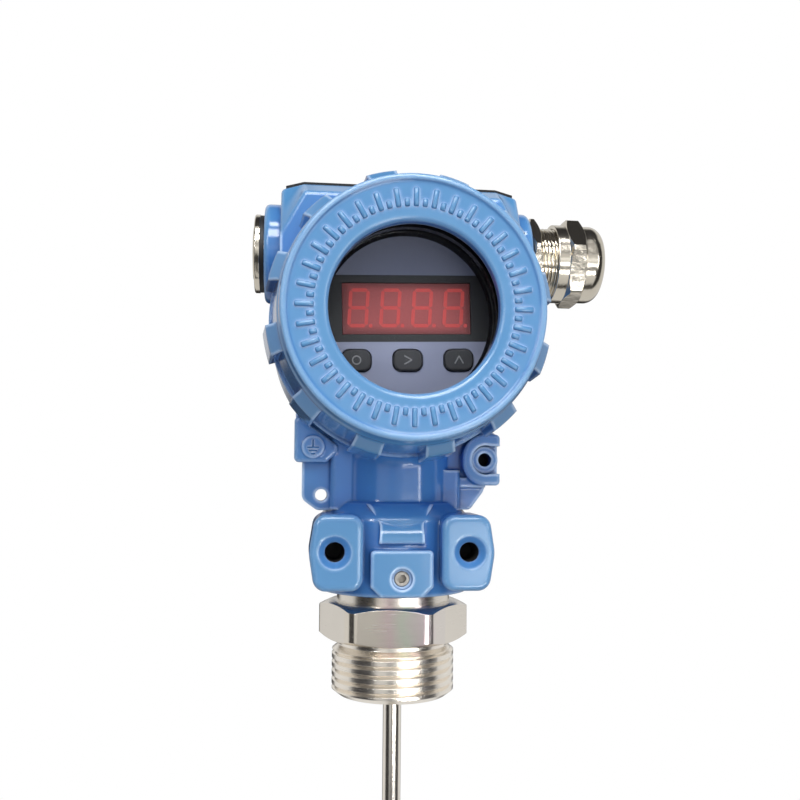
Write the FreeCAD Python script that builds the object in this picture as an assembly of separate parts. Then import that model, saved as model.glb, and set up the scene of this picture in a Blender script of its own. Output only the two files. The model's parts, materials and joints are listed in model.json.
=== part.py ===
import FreeCAD, Part
import math
import os

V = FreeCAD.Vector
os.makedirs("parts", exist_ok=True)

# Driving dimensions in millimetres. X is right, -Y is the front, +Z is up. The pieces are drawn
# from the underside of the hexagon up, and saved with the origin at the middle of the pipe thread.

# Process fitting and probe: the pipe thread drives the whole lower part
thread_d = 33.249
thread_len = 14.8
undercut_len = 2.2
undercut_depth = 1.9
seat_relief = 0.3
thread_chamfer = 1.3
thread_high = -undercut_len - 0.9
thread_low = thread_chamfer - thread_len
hex_af = thread_d + 2.75
hex_corner_d = hex_af + 4.5
hex_h = 10.0
hex_turn = -7.7
collar_d = thread_d - 2.45
collar_h = 2.9
rod_d = 5.0
rod_len = 150.0
spigot_d = collar_d - 4.0
spigot_len = 19.8

# Clearances
turn_gap = 0.05
thread_gap = 0.1
slide_gap = 0.2
seat_gap = 0.4
float_gap = 0.25
rest_gap = 0.02

# Lower block and neck of the housing
block_h = 24.1
block_bottom = hex_h + collar_h + 0.3
block_r = spigot_d / 2 + 7.1
block_shoulder = block_bottom + block_h - 4.1
neck_bottom = block_bottom + block_h
neck_d = spigot_d + 4.7
neck_len = 11.0
throat_round = 2.4
bracket_spacing = spigot_d + 7.2
bracket_hole_d = 5.0
bracket_hole_depth = 12.5
bracket_sink_d = 8.4
bracket_z = block_bottom + 11.8
pad_front = block_r + 3.5
pad_inner = bracket_spacing / 2 - 7.1
pad_outer = bracket_spacing / 2 + 5.6
pad_low = block_bottom + 2.1
pad_high = block_bottom + block_h - 2.9
panel_half_w = pad_inner - 1.9
panel_front = block_r + 2.1
panel_low = block_bottom + 0.4
panel_high = block_bottom + 12.2
lock_z = block_bottom + 5.0
lock_d = 4.0

# Head: barrel, saddle and conduit bosses
barrel_r = 34.7
barrel_skin_r = barrel_r - 0.5
barrel_front = 20.0
barrel_rear = 22.0
axis_z = neck_bottom + neck_len + barrel_r
saddle_half_w = barrel_r - 3.0
saddle_top = axis_z + barrel_r + 3.3
saddle_flat_half = saddle_half_w - 5.9
saddle_drop = 1.6
saddle_mid_half = 11.0
saddle_end_half = barrel_front - 1.4
saddle_round = 1.3
flange_top = saddle_top - 4.2
flange_top_half = saddle_flat_half - 0.1
flange_corner_z = flange_top - 11.6
entry_d = 19.9
conduit_z = axis_z + barrel_r - 13.2
conduit_r = entry_d / 2 + 3.45
conduit_face = saddle_half_w + 4.4

# Webs, ground ear and tag hole
web_front = neck_d / 2 - 7.75
web_thick = 5.0
web_low = neck_bottom - 2.2
web_x = neck_d / 2 + 9.6
tag_x = -neck_d / 2 - 4.5
tag_z = neck_bottom + 1.5
tag_d = 3.2
ear_x = neck_d / 2 + 7.6
ear_z = neck_bottom + 11.2
ear_hole_d = 3.6
ear_boss_d = 7.2
ear_hole_depth = 7.5

# Covers and window
cover_face = barrel_front + 25.0
rear_face = barrel_rear + 18.0
skirt_r = barrel_r - 1.2
skirt_draft = 1.8
lug_r = barrel_r + 1.1
rear_lug_r = barrel_skin_r
lug_draft = 1.2
lug_count = 12
lug_width_deg = 12.2
lug_start_deg = 12.4
cover_thread_r = barrel_r - 5.2
cover_thread_len = 10.0
window_r = barrel_r - 14.7
glass_r = window_r + 4.0
glass_t = 5.0

# Display
panel_face = cover_face - 17.4
display_turn = 1.5
display_r = glass_r + 1.2
sight_r = window_r + 0.6
led_w = 31.8
led_h = 12.6
led_up = 2.6
button_w = 7.2
button_h = 5.3
button_pitch = 12.7
button_down = 10.3
button_travel = 0.6

# Gland and plug
gland_af = entry_d + 2.2
gland_turn_deg = -10.0
gland_thread_r = entry_d / 2 - 0.2
nut_collar_r = gland_af / 2 - 0.15
plug_head_r = entry_d / 2 + 0.65

X = V(1, 0, 0)
Y = V(0, 1, 0)
Z = V(0, 0, 1)
FRONT = V(0, -1, 0)
LEFT = V(-1, 0, 0)
ORIGIN = V(0, 0, 0)
HEAD = V(0, 0, axis_z)
ENTRY = V(0, 0, conduit_z)


# Helpers

def corner_wire(points, place):
    """Closed wire through flat corners (u, v) or (u, v, radius); a radius rounds its corner."""
    count = len(points)
    flat = [V(p[0], p[1], 0) for p in points]
    ends = []
    for i, p in enumerate(points):
        here = flat[i]
        radius = p[2] if len(p) > 2 else 0.0
        if radius <= 0:
            ends.append((here, None, here))
            continue
        back = flat[i - 1] - here
        back.normalize()
        ahead = flat[(i + 1) % count] - here
        ahead.normalize()
        half = back.getAngle(ahead) / 2
        run = radius / math.tan(half)
        middle = back + ahead
        middle.normalize()
        reach = radius / math.sin(half) - radius
        ends.append((here + back * run, here + middle * reach, here + ahead * run))
    edges = []
    for i, (first, mid, last) in enumerate(ends):
        if mid is not None:
            edges.append(Part.Arc(place(first), place(mid), place(last)).toShape())
        following = ends[(i + 1) % count][0]
        if (following - last).Length > 1e-6:
            edges.append(Part.makeLine(place(last), place(following)))
    return Part.Wire(edges)


def positive(shape):
    """The same solid with outward faces."""
    solid = Part.Solid(shape.Shells[0])
    if solid.Volume < 0:
        solid.reverse()
    return solid


def turned(points, centre, axis, radial, angle=360.0):
    """Solid turned about an axis from corners (radius, distance along the axis)."""
    face = Part.Face(corner_wire(points, lambda p: centre + radial * p.x + axis * p.y))
    return positive(face.revolve(centre, axis, angle))


def raised(points, origin, u, v, depth):
    """Prism from flat corners on the plane of u and v, raised along u x v."""
    face = Part.Face(corner_wire(points, lambda p: origin + u * p.x + v * p.y))
    return positive(face.extrude(u.cross(v) * depth))


def rod(radius, start, axis, length):
    """Plain cylinder."""
    return Part.makeCylinder(radius, length, start, axis)


def block(x0, x1, y0, y1, z0, z1):
    """Box between two corners."""
    return Part.makeBox(x1 - x0, y1 - y0, z1 - z0, V(x0, y0, z0))


def ring(inner, outer, start, axis, length):
    """Plain tube."""
    return rod(outer, start, axis, length).cut(rod(inner, start, axis, length))


def o_ring(centre, axis, radius, section):
    """Torus."""
    return Part.makeTorus(radius, section, centre, axis)


def hexagon(af, start, axis, u, length, turn_deg=0.0):
    """Hexagonal prism with a corner at turn_deg from u."""
    v = axis.cross(u)
    reach = af / math.sqrt(3)
    corners = []
    for k in range(6):
        angle = math.radians(turn_deg + 60 * k)
        corners.append((reach * math.cos(angle), reach * math.sin(angle)))
    return raised(corners, start, u, v, length)


def eased(shape, radius, pick):
    """Round the edges that pick chooses."""
    return shape.makeFillet(radius, [edge for edge in shape.Edges if pick(edge)])


def lies_at(edge, axis, value):
    """True if a whole edge lies in the plane at value along an axis."""
    return all(abs(vertex.Point.dot(axis) - value) < 1e-4 for vertex in edge.Vertexes) and (
        abs(edge.CenterOfMass.dot(axis) - value) < 1e-4
    )


def joined(first, *others):
    """One solid from several."""
    return first.fuse(list(others)).removeSplitter()


def group(shapes):
    """Several equal solids kept as one node."""
    return Part.makeCompound(shapes)


def levelled(shape):
    """Turn a display piece about the head's axis to stand level."""
    return shape.rotated(HEAD, Y, -display_turn)


def save(name, shape):
    """Write one node, its origin at the middle of the pipe thread."""
    lift = V(0, 0, -(thread_low + thread_high) / 2)
    shape.translated(lift).exportStep("parts/" + name + ".step")


def mirror_x(points):
    """The same outline on the other side of the YZ plane."""
    return [(-p[0],) + tuple(p[1:]) for p in reversed(points)]


# Housing, outside

barrel = turned(
    [
        (0, -barrel_front), (barrel_skin_r, -barrel_front, 0.7),
        (barrel_skin_r, barrel_rear, 0.7), (0, barrel_rear),
    ],
    HEAD, Y, X,
)


def saddle_section(y, half, top, flat_half, corner_z):
    """One closed section of the saddle, from the barrel's axis up."""
    points = [
        (-half, axis_z), (-half, corner_z), (-flat_half, top),
        (flat_half, top), (half, corner_z), (half, axis_z),
    ]
    return corner_wire(points, lambda p: V(p.x, y, p.y))


middle_corner = saddle_top - saddle_drop
saddle = Part.makeLoft(
    [
        saddle_section(-saddle_end_half, saddle_half_w, flange_top, flange_top_half, flange_corner_z),
        saddle_section(-saddle_mid_half, saddle_half_w, saddle_top, saddle_flat_half, middle_corner),
        saddle_section(saddle_mid_half, saddle_half_w, saddle_top, saddle_flat_half, middle_corner),
        saddle_section(saddle_end_half, saddle_half_w, flange_top, flange_top_half, flange_corner_z),
    ],
    True, True,
)
saddle = eased(saddle, saddle_round, lambda e: min(v.Z for v in e.Vertexes) > axis_z + 1)

conduit = turned(
    [(0, -conduit_face), (conduit_r, -conduit_face, 1.4), (conduit_r, conduit_face, 1.4), (0, conduit_face)],
    ENTRY, X, Y,
)

neck_r = neck_d / 2
column = turned(
    [
        (0, block_bottom), (block_r, block_bottom, 0.8), (block_r, block_shoulder, 2.0),
        (neck_r + 1.2, neck_bottom - 0.4, 0.8), (neck_r, neck_bottom), (neck_r, axis_z), (0, axis_z),
    ],
    ORIGIN, Z, X,
)

pad_mid = (pad_low + pad_high) / 2
pad_outline = [
    (pad_inner, pad_low, 3.2), (pad_outer - 0.6, pad_low, 3.4), (pad_outer + 0.9, pad_mid, 9.0),
    (pad_outer - 0.6, pad_high, 3.4), (pad_inner, pad_high, 3.2),
]
pad_root = V(0, -9.0, 0)
pad_right = raised(pad_outline, pad_root, X, Z, pad_front - 9.0)
pad_left = raised(mirror_x(pad_outline), pad_root, X, Z, pad_front - 9.0)
pad_right = eased(pad_right, 1.3, lambda e: lies_at(e, Y, -pad_front))
pad_left = eased(pad_left, 1.3, lambda e: lies_at(e, Y, -pad_front))

panel = raised(
    [
        (-panel_half_w + 2.6, panel_low, 0.8), (panel_half_w - 2.6, panel_low, 0.8),
        (panel_half_w, panel_low + 2.6, 0.8), (panel_half_w, panel_high, 1.2),
        (-panel_half_w, panel_high, 1.2), (-panel_half_w, panel_low + 2.6, 0.8),
    ],
    V(0, -12.0, 0), X, Z, panel_front - 12.0,
)
panel = eased(panel, 0.7, lambda e: lies_at(e, Y, -panel_front))

brow_half = 5.9
brow_low = panel_high + 1.5
brow = raised(
    [
        (-panel_front + 0.8, brow_low, 0.8), (-panel_front + 1.0, brow_low + 3.0, 5.0),
        (-neck_r - 0.9, neck_bottom - 0.5, 3.0), (-neck_r + 3.0, neck_bottom - 0.5),
        (-neck_r + 3.0, brow_low),
    ],
    V(-2 * brow_half, 0, 0), Y, Z, 4 * brow_half,
)
brow_top = neck_bottom + 1.0
brow_side = [
    (brow_half, brow_low - 1.0), (brow_half - 0.5, brow_low + 5.6, 5.0), (brow_half + 4.0, brow_top),
]
brow_front = raised(brow_side + mirror_x(brow_side), V(0, 0, 0), X, Z, 2 * panel_front)
brow = brow.common(brow_front)

web_y = -web_front + web_thick
web_top = axis_z - barrel_r * 0.43
gusset_low = neck_bottom + 10.2
ear_edge = ear_x + 3.8
ear_low = ear_z - 6.8
ear_high = ear_z + 6.9
web_right = raised(
    [
        (8.0, web_low), (web_x - 5.6, web_low, 1.6), (web_x - 1.6, web_low + 5.4, 4.0),
        (web_x - 1.6, ear_low), (ear_edge - 0.3, ear_low, 1.0), (ear_edge - 0.3, ear_high, 1.0),
        (ear_x - 2.0, ear_high + 3.0), (ear_x - 2.0, web_top), (8.0, web_top),
    ],
    V(0, web_y, 0), X, Z, web_thick,
)
web_left = raised(
    [
        (-8.0, web_top), (-web_x - 1.8, web_top), (-web_x - 1.8, gusset_low + 1.5),
        (-web_x, gusset_low + 1.5), (-web_x, web_low + 2.6, 2.6),
        (-web_x + 4.0, web_low - 0.3, 2.2), (-8.0, web_low - 0.3),
    ],
    V(0, web_y, 0), X, Z, web_thick,
)
gusset_proud = 3.0
gusset_slope = (axis_z - barrel_r + 11.9 - gusset_low - 4.5) / 11.3
gusset = raised(
    [
        (-web_x - 2.1, gusset_low, 1.2), (-web_x + 6.4, gusset_low, 1.0),
        (-web_x + 9.2, gusset_low + 2.6, 0.8), (-web_x + 9.2, gusset_low + 4.5, 0.6),
        (-web_x - 2.1, gusset_low + 4.5 + 11.3 * gusset_slope, 1.0),
    ],
    V(0, web_y, 0), X, Z, web_thick + gusset_proud,
)
gusset = eased(gusset, 0.8, lambda e: lies_at(e, Y, -web_front - gusset_proud))
mark_front = web_front + gusset_proud + 0.5
mark_boss = rod(3.0, V(-web_x + 2.8, web_y, gusset_low + 4.0), FRONT, mark_front + web_y)
mark_boss = eased(mark_boss, 0.3, lambda e: lies_at(e, Y, -mark_front))


def cheek(x_out, z_top):
    """Rounded rib where a web runs into the neck."""
    side = 1 if x_out > 0 else -1
    x0, x1 = sorted((x_out, side * (neck_r - 5.0)))
    rib = raised(
        [(x0, web_low), (x1, web_low), (x1, z_top), (x0, z_top)],
        V(0, web_y, 0), X, Z, web_thick + 2.0,
    )
    return eased(rib, 1.5, lambda e: lies_at(e, Y, -web_front - 2.0) and lies_at(e, X, x_out))


cheek_left = cheek(-neck_r - 2.2, axis_z - barrel_r * 0.72)
cheek_right = cheek(neck_r + 1.2, ear_low + 4.0)
lip_right = raised(
    [
        (neck_r - 2.0, ear_low - 0.6), (web_x - 1.6, ear_low - 0.6, 0.3),
        (web_x - 1.6, ear_low + 2.0), (neck_r - 2.0, ear_low + 2.0),
    ],
    V(0, web_y, 0), X, Z, web_thick + 1.2,
)

ear_front = web_front + 2.2
guard_front = web_front + 4.2
ear_boss = rod(ear_boss_d / 2, V(ear_x, 0, ear_z), FRONT, ear_front)
ear_boss = eased(ear_boss, 0.4, lambda e: lies_at(e, Y, -ear_front))
guard_outer = 6.8
guard_left = 6.2
guard_inner = ear_boss_d / 2 + 0.3
guard = raised(
    [
        (ear_x - guard_left, ear_z - guard_outer, 6.0), (ear_edge, ear_z - guard_outer, 1.2),
        (ear_edge, ear_z + guard_outer, 1.2), (ear_x - guard_left, ear_z + guard_outer, 6.0),
    ],
    V(0, web_y, 0), X, Z, guard_front + web_y,
)
guard = eased(guard, 0.7, lambda e: lies_at(e, Y, -guard_front))
guard = guard.cut(rod(guard_inner, V(ear_x, -web_front, ear_z), FRONT, 20.0))
gate = guard_inner - 0.2
guard = guard.cut(block(ear_x, ear_x + 20, -web_front - 20, -web_front, ear_z - gate, ear_z + gate))



def in_throat(edge):
    """Whether an edge is where the neck runs into the barrel."""
    first, last = edge.ParameterRange
    spots = [edge.valueAt(first + (last - first) * share) for share in (0.0, 0.3, 0.6, 1.0)]
    return all(abs(math.hypot(p.x, p.y) - neck_r) < 0.01 and p.z > neck_bottom + 1 for p in spots)


housing = eased(joined(barrel, column), throat_round, in_throat)
housing = joined(housing, saddle, conduit)
housing = joined(housing, web_right, web_left, gusset, mark_boss, cheek_left, cheek_right, lip_right)
housing = joined(housing, guard, ear_boss)
housing = joined(housing, pad_right, pad_left, panel, brow)

# Housing, inside

bore_r = cover_thread_r + thread_gap
chamber_r = bore_r - 1.6
front_step = barrel_front - cover_thread_len - 0.5 + seat_gap
rear_step = barrel_rear - cover_thread_len - 0.5 + seat_gap
spigot_bore_r = spigot_d / 2 + turn_gap
spigot_top = hex_h + collar_h + spigot_len
entry_r = entry_d / 2
wire_bore_r = 9.0
lock_r = lock_d / 2

mouth_r = bore_r + 2.0
mouth_depth = 2.2
hollow = turned(
    [
        (0, -barrel_front - 1), (mouth_r, -barrel_front - 1), (mouth_r, -barrel_front + mouth_depth),
        (bore_r, -barrel_front + mouth_depth), (bore_r, -front_step), (chamber_r, -front_step),
        (chamber_r, rear_step), (bore_r, rear_step), (bore_r, barrel_rear - mouth_depth),
        (mouth_r, barrel_rear - mouth_depth), (mouth_r, barrel_rear + 1), (0, barrel_rear + 1),
    ],
    HEAD, Y, X,
)
cuts = [
    hollow,
    rod(spigot_bore_r, V(0, 0, block_bottom - 1), Z, spigot_top + 0.5 - block_bottom + 1),
    rod(wire_bore_r, V(0, 0, block_bottom), Z, axis_z - chamber_r / 2 - block_bottom),
    rod(entry_r, V(12.0, 0, conduit_z), X, conduit_face),
    rod(entry_r, V(-12.0, 0, conduit_z), LEFT, conduit_face),
    Part.makeCone(entry_r, entry_r + 1.6, 1.6, V(conduit_face - 1.5, 0, conduit_z), X),
    rod(tag_d / 2, V(tag_x, 0, tag_z), FRONT, 20.0),
    rod(ear_hole_d / 2, V(ear_x, ear_hole_depth - ear_front, ear_z), FRONT, 20.0),
    rod(lock_r, V(0, -spigot_bore_r + 2, lock_z), FRONT, panel_front),
    rod(lock_r + 0.65, V(0, -panel_front + 1.1, lock_z), FRONT, 5.0),
]
for side in (-1, 1):
    hole_x = side * bracket_spacing / 2
    hole_end = pad_front - bracket_hole_depth
    cuts.append(rod(bracket_hole_d / 2, V(hole_x, -hole_end, bracket_z), FRONT, bracket_hole_depth + 2))
    sink = (bracket_sink_d - bracket_hole_d) / 2
    cuts.append(Part.makeCone(
        bracket_hole_d / 2, bracket_sink_d / 2 + 0.5, sink + 0.5,
        V(hole_x, -pad_front + sink, bracket_z), FRONT,
    ))
housing = housing.cut(cuts).removeSplitter()

lug_z = axis_z - 9.0
lug_front = 5.0
lug_back = -1.0
module_half = chamber_r - 9.0
lug_inner = module_half + slide_gap
post_r = 3.5
post_x = (chamber_r - 2.7) * 0.54
post_z = axis_z - (chamber_r - 2.7) * 0.842
post_front = 3.5
post_rear = barrel_rear + seat_gap - cover_thread_len - 2.6
inner = [rod(post_r, V(post_x, post_front, post_z), Y, post_rear - post_front)]
for side in (-1, 1):
    x0, x1 = sorted((side * lug_inner, side * (chamber_r + 1.2)))
    inner.append(block(x0, x1, -lug_front, -lug_back, lug_z - 3.6, lug_z + 3.6))
housing = joined(housing, *inner)
screw_r = 1.5
screw_x = lug_inner + 2.7
post_len = post_rear - post_front
inner_cuts = [rod(screw_r + turn_gap, V(post_x, post_front + 0.5, post_z), Y, post_len)]
for side in (-1, 1):
    inner_cuts.append(rod(screw_r + turn_gap, V(side * screw_x, -lug_front + 5.0, lug_z), FRONT, 8.0))
housing = housing.cut(inner_cuts).removeSplitter()
save("housing", housing)

# Nameplate on top, bent over the two slopes, with two drive pins

plate_t = 0.75
slope = math.atan2(saddle_drop, saddle_half_w - saddle_flat_half)
plate_end = saddle_half_w - 1.2
end_drop = (plate_end - saddle_flat_half) * math.tan(slope)
plate_base = saddle_top + rest_gap
plate_outline = [
    (-plate_end, plate_base - end_drop), (-saddle_flat_half, plate_base),
    (saddle_flat_half, plate_base), (plate_end, plate_base - end_drop),
    (plate_end, plate_base - end_drop + plate_t), (saddle_flat_half, plate_base + plate_t),
    (-saddle_flat_half, plate_base + plate_t), (-plate_end, plate_base - end_drop + plate_t),
]
plate_half = saddle_mid_half - 0.6
nameplate = raised(plate_outline, V(0, plate_half, 0), X, Z, 2 * plate_half)
pins = []
for side in (-1, 1):
    pin_x = side * (saddle_flat_half - 3.5)
    head = turned(
        [(0, 0), (1.5, 0), (1.3, 0.5, 0.3), (0.7, 0.8, 0.3), (0, 0.8)],
        V(pin_x, 0, plate_base + plate_t + rest_gap), Z, X,
    )
    pins.append(head)
save("nameplate", nameplate)
save("nameplate_pins", group(pins))

# Lock screw in the middle panel

lock_face = panel_front - 1.3
lock_tip = spigot_d / 2 - 1.0
lock_screw = turned(
    [
        (0, lock_tip), (1.2, lock_tip, 0.2), (1.2, spigot_d / 2 + 0.6), (lock_r - 0.06, spigot_d / 2 + 1.4),
        (lock_r - 0.06, lock_face, 0.25), (0, lock_face),
    ],
    V(0, 0, lock_z), FRONT, X,
)
socket = hexagon(2.0, V(0, -lock_face + 2.0, lock_z), FRONT, X, 4.0)
save("lock_screw", lock_screw.cut(socket))

# Process fitting, turned from hexagon bar

thread_r = thread_d / 2
corner_r = hex_corner_d / 2
spigot_r = spigot_d / 2
bush_r = 6.4
collar_r = collar_d / 2
collar_top = hex_h + collar_h
groove_half = 1.7
ring_z = spigot_top - 4.5
turn_profile = [
    (bush_r + turn_gap, -thread_len), (thread_r - 1.7, -thread_len), (thread_r, thread_low),
    (thread_r, thread_high), (thread_r - undercut_depth, -undercut_len + 0.6, 0.5),
    (thread_r - undercut_depth, seat_relief), (thread_r + thread_gap, seat_relief),
    (thread_r + thread_gap, 0), (hex_af / 2 - 0.5, 0), (corner_r, 1.25), (corner_r, hex_h - 1.25),
    (hex_af / 2 - 0.5, hex_h),
    (collar_r, hex_h), (collar_r, collar_top - 0.4), (collar_r - 0.4, collar_top),
    (spigot_r, collar_top), (spigot_r, lock_z - groove_half), (spigot_r - 1.5, lock_z - groove_half),
    (spigot_r - 1.5, lock_z + groove_half), (spigot_r, lock_z + groove_half), (spigot_r, ring_z - 1.3),
    (spigot_r - 2.15, ring_z - 1.3), (spigot_r - 2.15, ring_z + 1.3), (spigot_r, ring_z + 1.3),
    (spigot_r, spigot_top - 0.8), (spigot_r - 0.8, spigot_top), (bush_r + turn_gap, spigot_top),
]
fitting = turned(turn_profile, ORIGIN, Z, X)
hex_trim = rod(corner_r + 5, ORIGIN, Z, hex_h)
hex_trim = hex_trim.cut(hexagon(hex_af, ORIGIN, Z, X, hex_h, hex_turn))
fitting = fitting.cut(hex_trim)
save("process_fitting", fitting)
save("fitting_o_ring", o_ring(V(0, 0, ring_z), Z, spigot_r - 1.1, 1.0))

# Probe rod with its insulating sleeve, washer and nut

rod_r = rod_d / 2
flange_t = 1.5
washer_t = 0.8
nut_t = 3.2
stud_r = 2.0
stud_top = spigot_top + flange_t + washer_t + nut_t + 3.0
probe_rod = turned(
    [
        (0, -rod_len), (rod_r, -rod_len, 1.2), (rod_r, spigot_top), (stud_r, spigot_top + 0.6),
        (stud_r, stud_top, 0.4), (0, stud_top),
    ],
    ORIGIN, Z, X,
)
save("probe_rod", probe_rod)
sleeve = turned(
    [
        (rod_r + turn_gap, -thread_len + 0.2), (bush_r, -thread_len + 0.2), (bush_r, spigot_top + rest_gap),
        (8.2, spigot_top + rest_gap), (8.2, spigot_top + flange_t), (rod_r + turn_gap, spigot_top + flange_t),
    ],
    ORIGIN, Z, X,
)
save("rod_insulator", sleeve)
washer_z = spigot_top + flange_t + rest_gap
save("rod_washer", ring(stud_r + turn_gap, 4.5, V(0, 0, washer_z), Z, washer_t))
nut_z = washer_z + washer_t + rest_gap
rod_nut = hexagon(7.0, V(0, 0, nut_z), Z, X, nut_t).cut(rod(stud_r + turn_gap, V(0, 0, nut_z), Z, nut_t))
save("rod_nut", rod_nut)

# Electronics module on the two inner lugs, and the lead from the rod

module_low = axis_z - 19.0
module_high = axis_z + 9.5
module_front = 8.0
module_back = -3.0
ear_half = screw_x + 2.6
module = raised(
    [
        (-module_half, module_low, 3.0), (module_half, module_low, 3.0),
        (module_half, module_high, 3.0), (-module_half, module_high, 3.0),
    ],
    V(0, -module_back, 0), X, Z, module_front - module_back,
)
module_ears = block(-ear_half, ear_half, -module_front, -lug_front - rest_gap, lug_z - 3.2, lug_z + 3.2)
module = joined(module, module_ears)
for side in (-1, 1):
    module = module.cut(rod(screw_r + turn_gap, V(side * screw_x, 0, lug_z), FRONT, 20.0))
save("electronics_module", module)


def pan_screw(place, axis, radial, head_r, head_h, shank, length):
    """Round-head screw with a cross slot; place is under its head."""
    body = turned(
        [
            (0, -length), (shank, -length, 0.2), (shank, 0), (head_r, 0),
            (head_r, head_h, head_h * 0.6), (0, head_h),
        ],
        place, axis, radial,
    )
    other = axis.cross(radial)
    slot = [(-head_r, -0.3), (head_r, -0.3), (head_r, 0.3), (-head_r, 0.3)]
    return body.cut(raised(slot, place + axis * (head_h - 0.7), radial, other, 2.0))


module_screws = []
for side in (-1, 1):
    module_screws.append(pan_screw(
        V(side * screw_x, -module_front - rest_gap, lug_z), FRONT, X, 2.6, 1.6, screw_r, module_front - 1.0,
    ))
save("module_screws", group(module_screws))

lead_r = 1.3
socket_base = stud_top - 2.2
lead = turned(
    [
        (stud_r + slide_gap, socket_base), (3.2, socket_base, 0.3), (3.2, stud_top + 3.0, 0.8),
        (lead_r, stud_top + 3.0), (lead_r, module_low - rest_gap), (0, module_low - rest_gap),
        (0, stud_top + 0.5),
        (stud_r + slide_gap, stud_top + 0.5),
    ],
    ORIGIN, Z, X,
)
save("sensor_lead", lead)

# Terminal block on the back of the module, with its screws, and the inner ground screw

term_half = 15.0
term_low = axis_z - 15.0
term_high = axis_z - 3.0
term_front = -module_back + rest_gap
term_rear = term_front + 10.0
terminal = block(-term_half, term_half, term_front, term_rear, term_low, term_high)
terminal = eased(terminal, 0.6, lambda e: lies_at(e, Y, term_rear))
term_pitch = 9.6
term_screw_z = term_high - 4.0
for k in (-1, 0, 1):
    terminal = terminal.cut(rod(3.1, V(k * term_pitch, term_rear - 3.0, term_screw_z), Y, 6.0))
    terminal = terminal.cut(block(
        k * term_pitch - 2.4, k * term_pitch + 2.4, term_rear - 5.0, term_rear + 1,
        term_low - 1, term_low + 4.6,
    ))
    terminal = terminal.cut(rod(screw_r + turn_gap, V(k * term_pitch, term_rear - 8.0, term_screw_z), Y, 8.0))
save("terminal_block", terminal)
terminal_screws = []
for k in (-1, 0, 1):
    terminal_screws.append(pan_screw(
        V(k * term_pitch, term_rear - 2.98, term_screw_z), Y, X, 2.7, 1.8, screw_r, 4.5,
    ))
save("terminal_screws", group(terminal_screws))
save("inner_ground_screw", pan_screw(
    V(post_x, post_rear + rest_gap, post_z), Y, X, 2.4, 1.6, screw_r, post_len - 0.8,
))

# Display stack: standoffs, board, switches, digit block, panel, bezel and buttons

board_back = 18.0
board_t = 1.6
board_front = board_back + board_t
panel_t = 1.6
panel_back = panel_face - panel_t
standoffs = []
for x, z in ((-15.5, 6.0), (15.5, 6.0), (0, -14.5)):
    stand = board_back - module_front - 2 * rest_gap
    post = hexagon(4.5, V(x, -module_front - rest_gap, axis_z + z), FRONT, X, stand)
    standoffs.append(post)
save("display_standoffs", levelled(group(standoffs)))
board = rod(display_r - 0.9, V(0, -board_back, axis_z), FRONT, board_t)
save("display_board", board)

button_z = axis_z - button_down
button_x = (-button_pitch, 0.0, button_pitch)
switch_h = 3.6
switches = []
for x in button_x:
    base = block(
        x - 3.0, x + 3.0, -board_front - switch_h, -board_front - rest_gap,
        button_z - 3.0, button_z + 3.0,
    )
    base = eased(base, 0.3, lambda e: lies_at(e, Y, -board_front - switch_h))
    switches.append(base)
save("button_switches", levelled(group(switches)))

led_z = axis_z + led_up
led_front = panel_face - 0.35
led = block(-led_w / 2, led_w / 2, -led_front, -board_front - rest_gap, led_z - led_h / 2, led_z + led_h / 2)
save("digit_block", levelled(led))

hole_gap = float_gap
panel_cup = turned(
    [
        (0, panel_back), (display_r - 1.2, panel_back), (display_r - 1.2, board_front + rest_gap),
        (display_r, board_front + rest_gap), (display_r, panel_face, 0.4), (0, panel_face),
    ],
    HEAD, FRONT, X,
)
panel_cup = panel_cup.cut(block(
    -led_w / 2 - 0.15, led_w / 2 + 0.15, -40, -15, led_z - led_h / 2 - 0.15, led_z + led_h / 2 + 0.15,
))


def button_outline(x, grow, radius):
    """Rounded key outline about its centre, grown by a margin."""
    w = button_w / 2 + grow
    h = button_h / 2 + grow
    return [
        (x - w, button_z - h, radius), (x + w, button_z - h, radius),
        (x + w, button_z + h, radius), (x - w, button_z + h, radius),
    ]


for x in button_x:
    panel_cup = panel_cup.cut(raised(button_outline(x, hole_gap, 2.2), V(0, -15, 0), X, Z, 20.0))
save("display_panel", levelled(panel_cup))
bezel = turned(
    [
        (sight_r, panel_face + rest_gap), (display_r - 0.3, panel_face + rest_gap),
        (display_r - 0.3, panel_face + 1.4, 0.4),
        (sight_r + 0.8, panel_face + 1.4, 0.3), (sight_r, panel_face + 0.6),
    ],
    HEAD, FRONT, X,
)
save("display_bezel", bezel)

button_back = board_front + switch_h + button_travel + 0.25
button_proud = panel_face + 1.0
for name, x in zip(("button_left", "button_middle", "button_right"), button_x):
    cap = raised(button_outline(x, 0, 2.0), V(0, -button_back, 0), X, Z, button_proud - button_back)
    cap = eased(cap, 0.5, lambda e: lies_at(e, Y, -button_proud))
    flange = raised(button_outline(x, 0.9, 1.2), V(0, -button_back, 0), X, Z, 0.8)
    save(name, levelled(joined(cap, flange)))

# Covers


def cover_lugs(axis, low, high, reach):
    """Grip lugs around a cover's skirt."""
    root = skirt_r - skirt_draft - 0.6
    lugs = []
    for k in range(lug_count):
        middle = lug_start_deg + 360.0 * k / lug_count
        angle = math.radians(middle + (-lug_width_deg / 2 if axis.y < 0 else lug_width_deg / 2))
        radial = V(math.cos(angle), 0, math.sin(angle))
        lug = turned(
            [(root, low), (reach, low, 0.7), (reach - lug_draft, high - 4.2, 1.4), (root, high + 0.2)],
            HEAD, axis, radial, lug_width_deg,
        )
        lugs.append(lug)
    return lugs


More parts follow.
